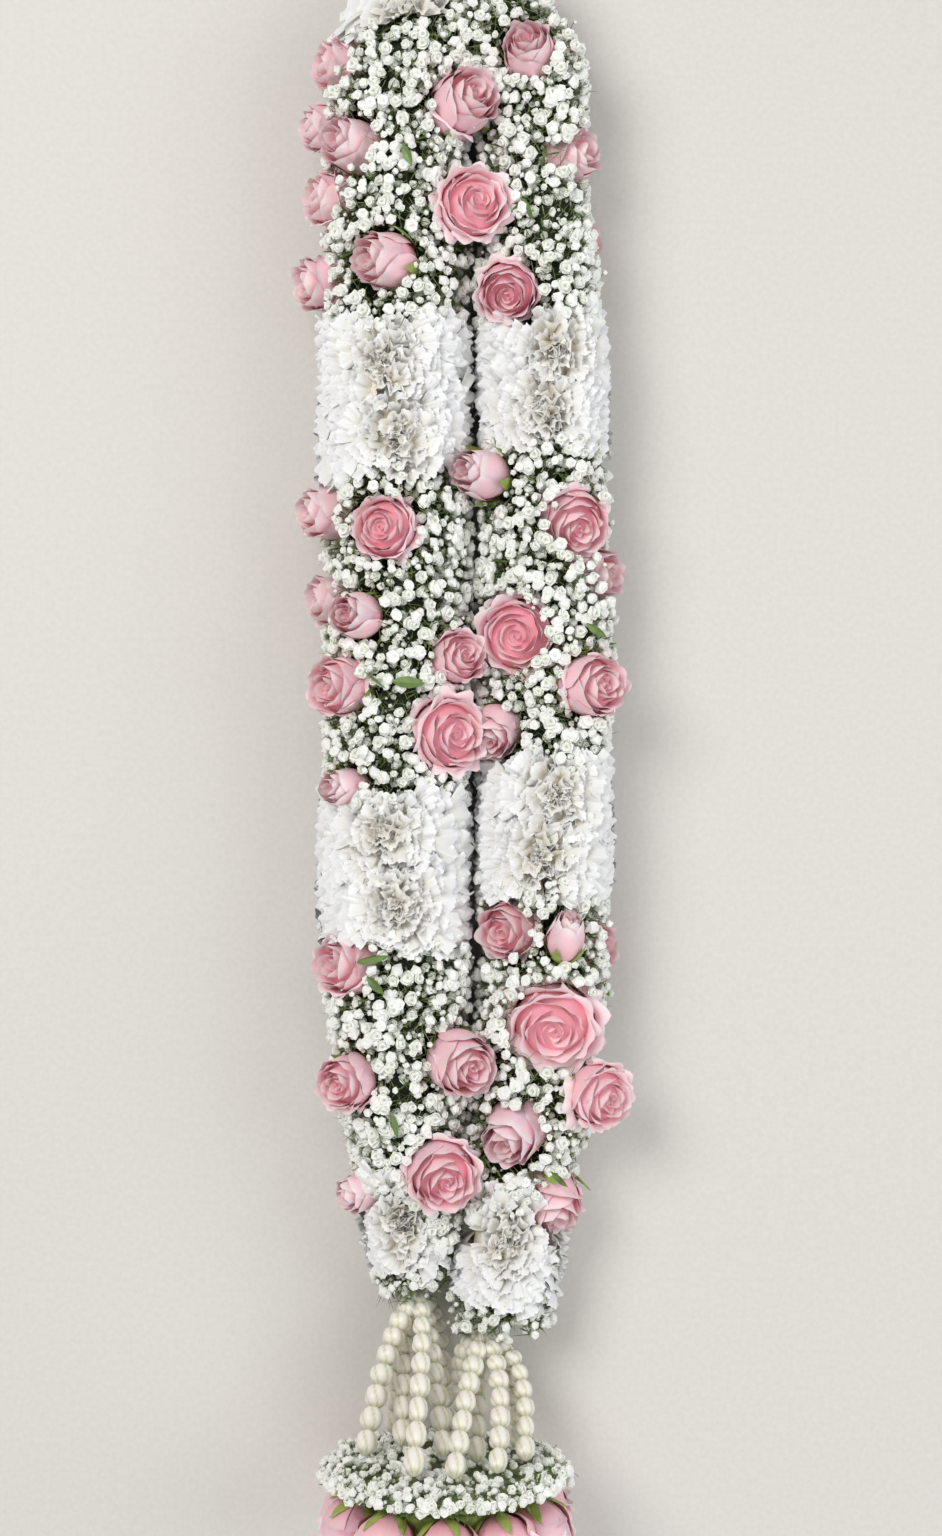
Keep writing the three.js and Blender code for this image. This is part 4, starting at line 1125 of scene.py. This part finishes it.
def string_of_buds(knot, path, buds, rng):
    """Buds along a cubic curve from the knot: each reaches half the way to the next one, and a bit more."""
    top_x, top_z, degrees, ring, radius = path
    a = np.radians(degrees)
    spread = np.array([top_x - knot[0], 0, top_z - knot[2]]) * STRING_FLARE
    top = knot + spread - [0, STRING_DROP, 0]
    end = np.array([PENDANT[0] + ring * np.cos(a), STRING_END, PENDANT[2] + ring * np.sin(a)])
    low = (top + end) / 2 - [0, 0, STRING_SAG]

    def curve(t):
        """The points of the cubic at each share t of the way."""
        t = np.asarray(t, float)[:, None]
        return (1 - t) ** 3 * knot + 3 * t * (1 - t) ** 2 * top + 3 * t ** 2 * (1 - t) * low + t ** 3 * end

    joints = curve(np.arange(buds + 1) / buds)
    axes = joints[:-1] - joints[1:]
    half_lengths = np.linalg.norm(axes, axis=-1) * 0.54
    sizes = radius * rng.uniform(1.04, 1.2, buds)
    sizes[0] *= FIRST_BUD
    shapes = []
    for middle, axis, half_length, size in zip((joints[:-1] + joints[1:]) / 2, axes, half_lengths, sizes):
        bud = {**BUD_SHAPE, "points": BUD_SHAPE["points"] * [size, size, max(half_length, 0.86 * size)]}
        shapes.append({**placed(bud, middle, axis + rng.normal(0, 0.5, 3), rng.uniform(0, 6)),
                       "tint": np.full(len(bud["points"]), rng.uniform(0, 1))})
    return join([*shapes, thread(curve(np.linspace(0, 1, 16)), THREAD_RADIUS)])


# %% The two sheaves
for strand, sheaf in STRINGS.items():
    rng = np.random.default_rng(70 + SIDE[strand])
    knot = np.array(sheaf["knot"], float)
    strings = [string_of_buds(knot, path, sheaf["buds"], rng) for path in sheaf["paths"]]
    strings.append(stamp(KNOT_SHAPE, knot[None], UP[None], KNOT_RADIUS, rng))
    sheaf_piece = piece(f"jasmine_buds_{strand}", join(strings), [BUD, COTTON],
                        f"jasmine_strings_{strand}")
    print(sheaf_piece.name, made[sheaf_piece.name], "triangles")

# %% [markdown]
# ## The pendant
#
# The pendant hangs from the strings: baby's breath over a round card, and under it two rounds of roses
# that look outwards and down the lei. Its florets sit on circles, like the rows of the strands, but the
# way they face turns over at the rim.

# %% The pendant's baby's breath
PENDANT_RADIUS = 76
PAD_FACE = -11.35
PAD_THICK = 5
# Each coat: the spacing of its florets, its depth, their size, and the share of closed buds.
PENDANT_COATS = ((6.9, 0.0, 1.0, 0.2), (7.6, 4.0, 0.85, 0.45))
PENDANT_LOOSE = 0.12  # the share of florets that stand out further


def pendant_frame(way, angle):
    """Place and direction at a way out over the cake and round its rim, and an angle round it."""
    spoke = np.stack([np.cos(angle), 0 * angle, np.sin(angle)], -1)
    radius = np.interp(way, [0, 72, 80, 92, 104], [0, 70, PENDANT_RADIUS, PENDANT_RADIUS, 66])
    forward = np.interp(way, [0, 50, 72, 80, 92, 104], [2.8, 2.5, 1.2, -1.5, -6.5, -9.0])
    lean = np.radians(np.interp(way, [0, 60, 80, 92, 104], [0, 12, 60, 90, 130]))
    place = PENDANT + spoke * radius[:, None] + np.array([0.0, 1.0, 0.0]) * forward[:, None]
    return place, spoke * np.sin(lean)[:, None] + np.array([0.0, 1.0, 0.0]) * np.cos(lean)[:, None]


def pendant_coat(row, rng):
    """One coat: florets on circles round the cake, each strayed from its place, with stems and leaves."""
    spacing, depth, size, buds = row
    ways = np.arange(3, 104, spacing * 0.87)
    counts = np.maximum(3, np.round(2 * np.pi * np.minimum(ways, PENDANT_RADIUS) / spacing)).astype(int)
    way = np.repeat(ways, counts)
    angle = np.concatenate([np.arange(n) / n for n in counts]) * 2 * np.pi
    way = way + rng.uniform(-0.4, 0.4, len(way)) * spacing
    angle = angle + rng.uniform(-0.4, 0.4, len(way)) * spacing / np.clip(way, 8, PENDANT_RADIUS)
    place, axis = pendant_frame(way, angle)
    lumps = cluster_noise(way * np.cos(angle) + 200, way * np.sin(angle) + 200, CLUSTER, 3)
    loose = (rng.uniform(0, 1, len(way)) < PENDANT_LOOSE) * rng.uniform(1, 4, len(way))
    place = place + axis * (loose - depth - 3 * lumps - rng.uniform(0, 1.5, len(way)))[:, None]
    kept = (place[:, 2] > 3) & (rng.uniform(0, 1, len(way)) > 0.22 + 0.5 * (lumps > 0.7))
    place, axis = place[kept], axis[kept] + rng.normal(0, 0.3, (kept.sum(), 3))
    closed = rng.uniform(0, 1, len(place)) < buds
    sizes = FLORET_RADIUS * size * rng.uniform(0.7, 1.08, len(place))
    parts = florets_and_buds(place, axis, sizes, closed, rng)
    stems = axis + rng.normal(0, 0.7, axis.shape)
    parts.append(stamp(STEM_SHAPE, place - stems * 5, stems, 9.0, rng))
    lengths = rng.uniform(8, 11, len(place[::2]))
    parts.append(stamp(NARROW_LEAF, place[::2] - axis[::2] * 6, stems[::2], lengths, rng))
    return parts


def pendant_core():
    """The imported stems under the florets: a closed round cake about the lei's length."""
    profile = [[0, -10.8], [56, -10.8], [68, -9], [71, -6.5], [64, -5], [40, -4.5], [0, -4.5]]
    cake = round_shape([[*row, 0, 0] for row in profile], 48, 9)
    turned = cake["points"][:, [0, 2, 1]] * [1, 1, -1] + PENDANT
    return {**cake, "points": turned, "material": np.full(len(cake["tris"]), 1)}


rng = np.random.default_rng(90)
cover = [pendant_core()]
for row in PENDANT_COATS:
    cover += pendant_coat(row, rng)
piece("florets_pendant", join(cover), [FLORET, STEM, SHADE, LEAF], "gypsophila_pendant",
      smooth=False)
print("pendant:", made["florets_pendant"], "triangles of florets")

# %% The pendant's roses
# Rounds of roses: how many, how far out their stems start, how far they lean out in degrees, their width.
ROSE_ROUNDS = ((10, 50, 26, 43), (4, 20, 8, 41))
PENDANT_SEPALS = 0.38  # how far the sepals go round these roses
ROSES_CORE = (50, 0.55)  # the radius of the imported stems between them, and how flat they are
STEMS = PENDANT + [0, PAD_FACE - PAD_THICK, 0]


def pendant_roses():
    """Roses whose stems start on the card: their faces look down the lei, turned out by the lean."""
    shapes = []
    for count, ring, lean, width in ROSE_ROUNDS:
        for k in range(count):
            a, tilt = (k + 0.5) / count * 2 * np.pi, np.radians(lean)
            spoke = np.array([np.cos(a), 0, np.sin(a)])
            face = np.array([0, -np.cos(tilt), 0]) + spoke * np.sin(tilt)
            bloom = rose(width, 0.5, 200 + k + ring, PENDANT_SEPALS)
            shapes.append(placed(bloom, STEMS + spoke * ring, face))
    return shapes


def stems_core():
    """Packed stems and leaves between the roses: a flattened ball, cut off flat at the card."""
    radius, flat = ROSES_CORE
    latitude = np.linspace(0, np.pi / 2, 9)
    profile = np.stack([radius * np.cos(latitude), 0.4 + radius * flat * np.sin(latitude)], -1)
    profile = np.concatenate([[[0, 0.4]], profile[:-1], [[0, profile[-1, 1]]]])
    ball = round_shape([[*row, 0, 0] for row in profile], 40, 9)
    return {**ball, "points": ball["points"][:, [0, 2, 1]] * [1, -1, 1] + STEMS}


piece("roses_pendant", join([*pendant_roses(), stems_core()]), [ROSE, SEPAL], "pendant_roses")
print("pendant:", made["roses_pendant"], "triangles of roses")

# %% [markdown]
# ## The cord and the card
#
# The cotton cord and the card inside have the shape that the CAD model gives them, so they stay and only
# get their finishes. Both can be seen between the flowers from below.

# %% Finishes of the inner pieces
for node, finish in (("core_cord", COTTON), ("pendant_pad", CARD)):
    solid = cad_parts[node]
    solid.data.materials.clear()
    solid.data.materials.append(finish)
    print(node, "keeps its CAD shape")

# %% [markdown]
# ## Floor, light and camera
#
# The lei lies on pale paper. A large soft lamp over the left shoulder and a cooler one from the right
# give the petals gentle shades, and a bright sky fills the rest. White flowers should come out white, so
# the picture is shown without a film curve. The camera looks straight down from 1.4 m above the strands.

# %% Stage
PICTURE_MIDDLE = (5.3, -14.4)
PICTURE_PLANE = 47
PICTURE_DISTANCE = 1400
PICTURE_HEIGHT = 960


def add_floor():
    """A sheet of pale paper under the lei, which is scenery and no part of it."""
    mesh = bpy.data.meshes.new("floor")
    mesh.from_pydata([(-3, -3, 0), (3, -3, 0), (3, 3, 0), (-3, 3, 0)], [], [(0, 1, 2, 3)])
    floor = bpy.data.objects.new("floor", mesh)
    paper = Finish("floor_paper", 0.9)
    fibres = paper.ramp(paper.group(PATCHES, Scale=300.0), (0.3, "DAD7D2"), (0.7, "E0DDD8"))
    mesh.materials.append(paper.paint(fibres))
    bpy.context.scene.collection.objects.link(floor)


def add_light(name, place, power, size, tone):
    """A square lamp that looks at the origin: its -Z points away from its place."""
    light = bpy.data.lights.new(name, "AREA")
    light.energy, light.size, light.color = power, size, tone
    lamp = bpy.data.objects.new(name, light)
    lamp.location = place
    lamp.rotation_euler = lamp.location.to_track_quat("Z", "Y").to_euler()
    bpy.context.scene.collection.objects.link(lamp)


def add_camera():
    """The lens is the sensor's height x the distance / the height of the picture there."""
    camera = bpy.data.cameras.new("camera")
    camera.sensor_fit = "VERTICAL"
    camera.sensor_height = 36
    camera.lens = camera.sensor_height * PICTURE_DISTANCE / PICTURE_HEIGHT
    eye = bpy.data.objects.new("camera", camera)
    eye.location = (*(c * MM for c in PICTURE_MIDDLE), (PICTURE_PLANE + PICTURE_DISTANCE) * MM)
    bpy.context.scene.collection.objects.link(eye)
    bpy.context.scene.camera = eye


add_floor()
add_light("key", (-0.9, 0.8, 1.9), 25, 1.0, (1.0, 0.985, 0.96))
add_light("fill", (1.5, 0.1, 1.3), 12, 1.4, (0.93, 0.965, 1.0))
add_light("foot", (0.2, -1.5, 1.2), 7, 1.2, (1.0, 1.0, 1.0))
add_camera()

sky = bpy.data.worlds.new("studio")
sky.use_nodes = True
sky.node_tree.nodes["Background"].inputs["Color"].default_value = (1.0, 0.985, 0.975, 1.0)
sky.node_tree.nodes["Background"].inputs["Strength"].default_value = 0.4
bpy.context.scene.world = sky
bpy.context.scene.view_settings.view_transform = "Standard"

# %% The size, and the end
print("pieces:", len(made), "triangles:", sum(made.values()))
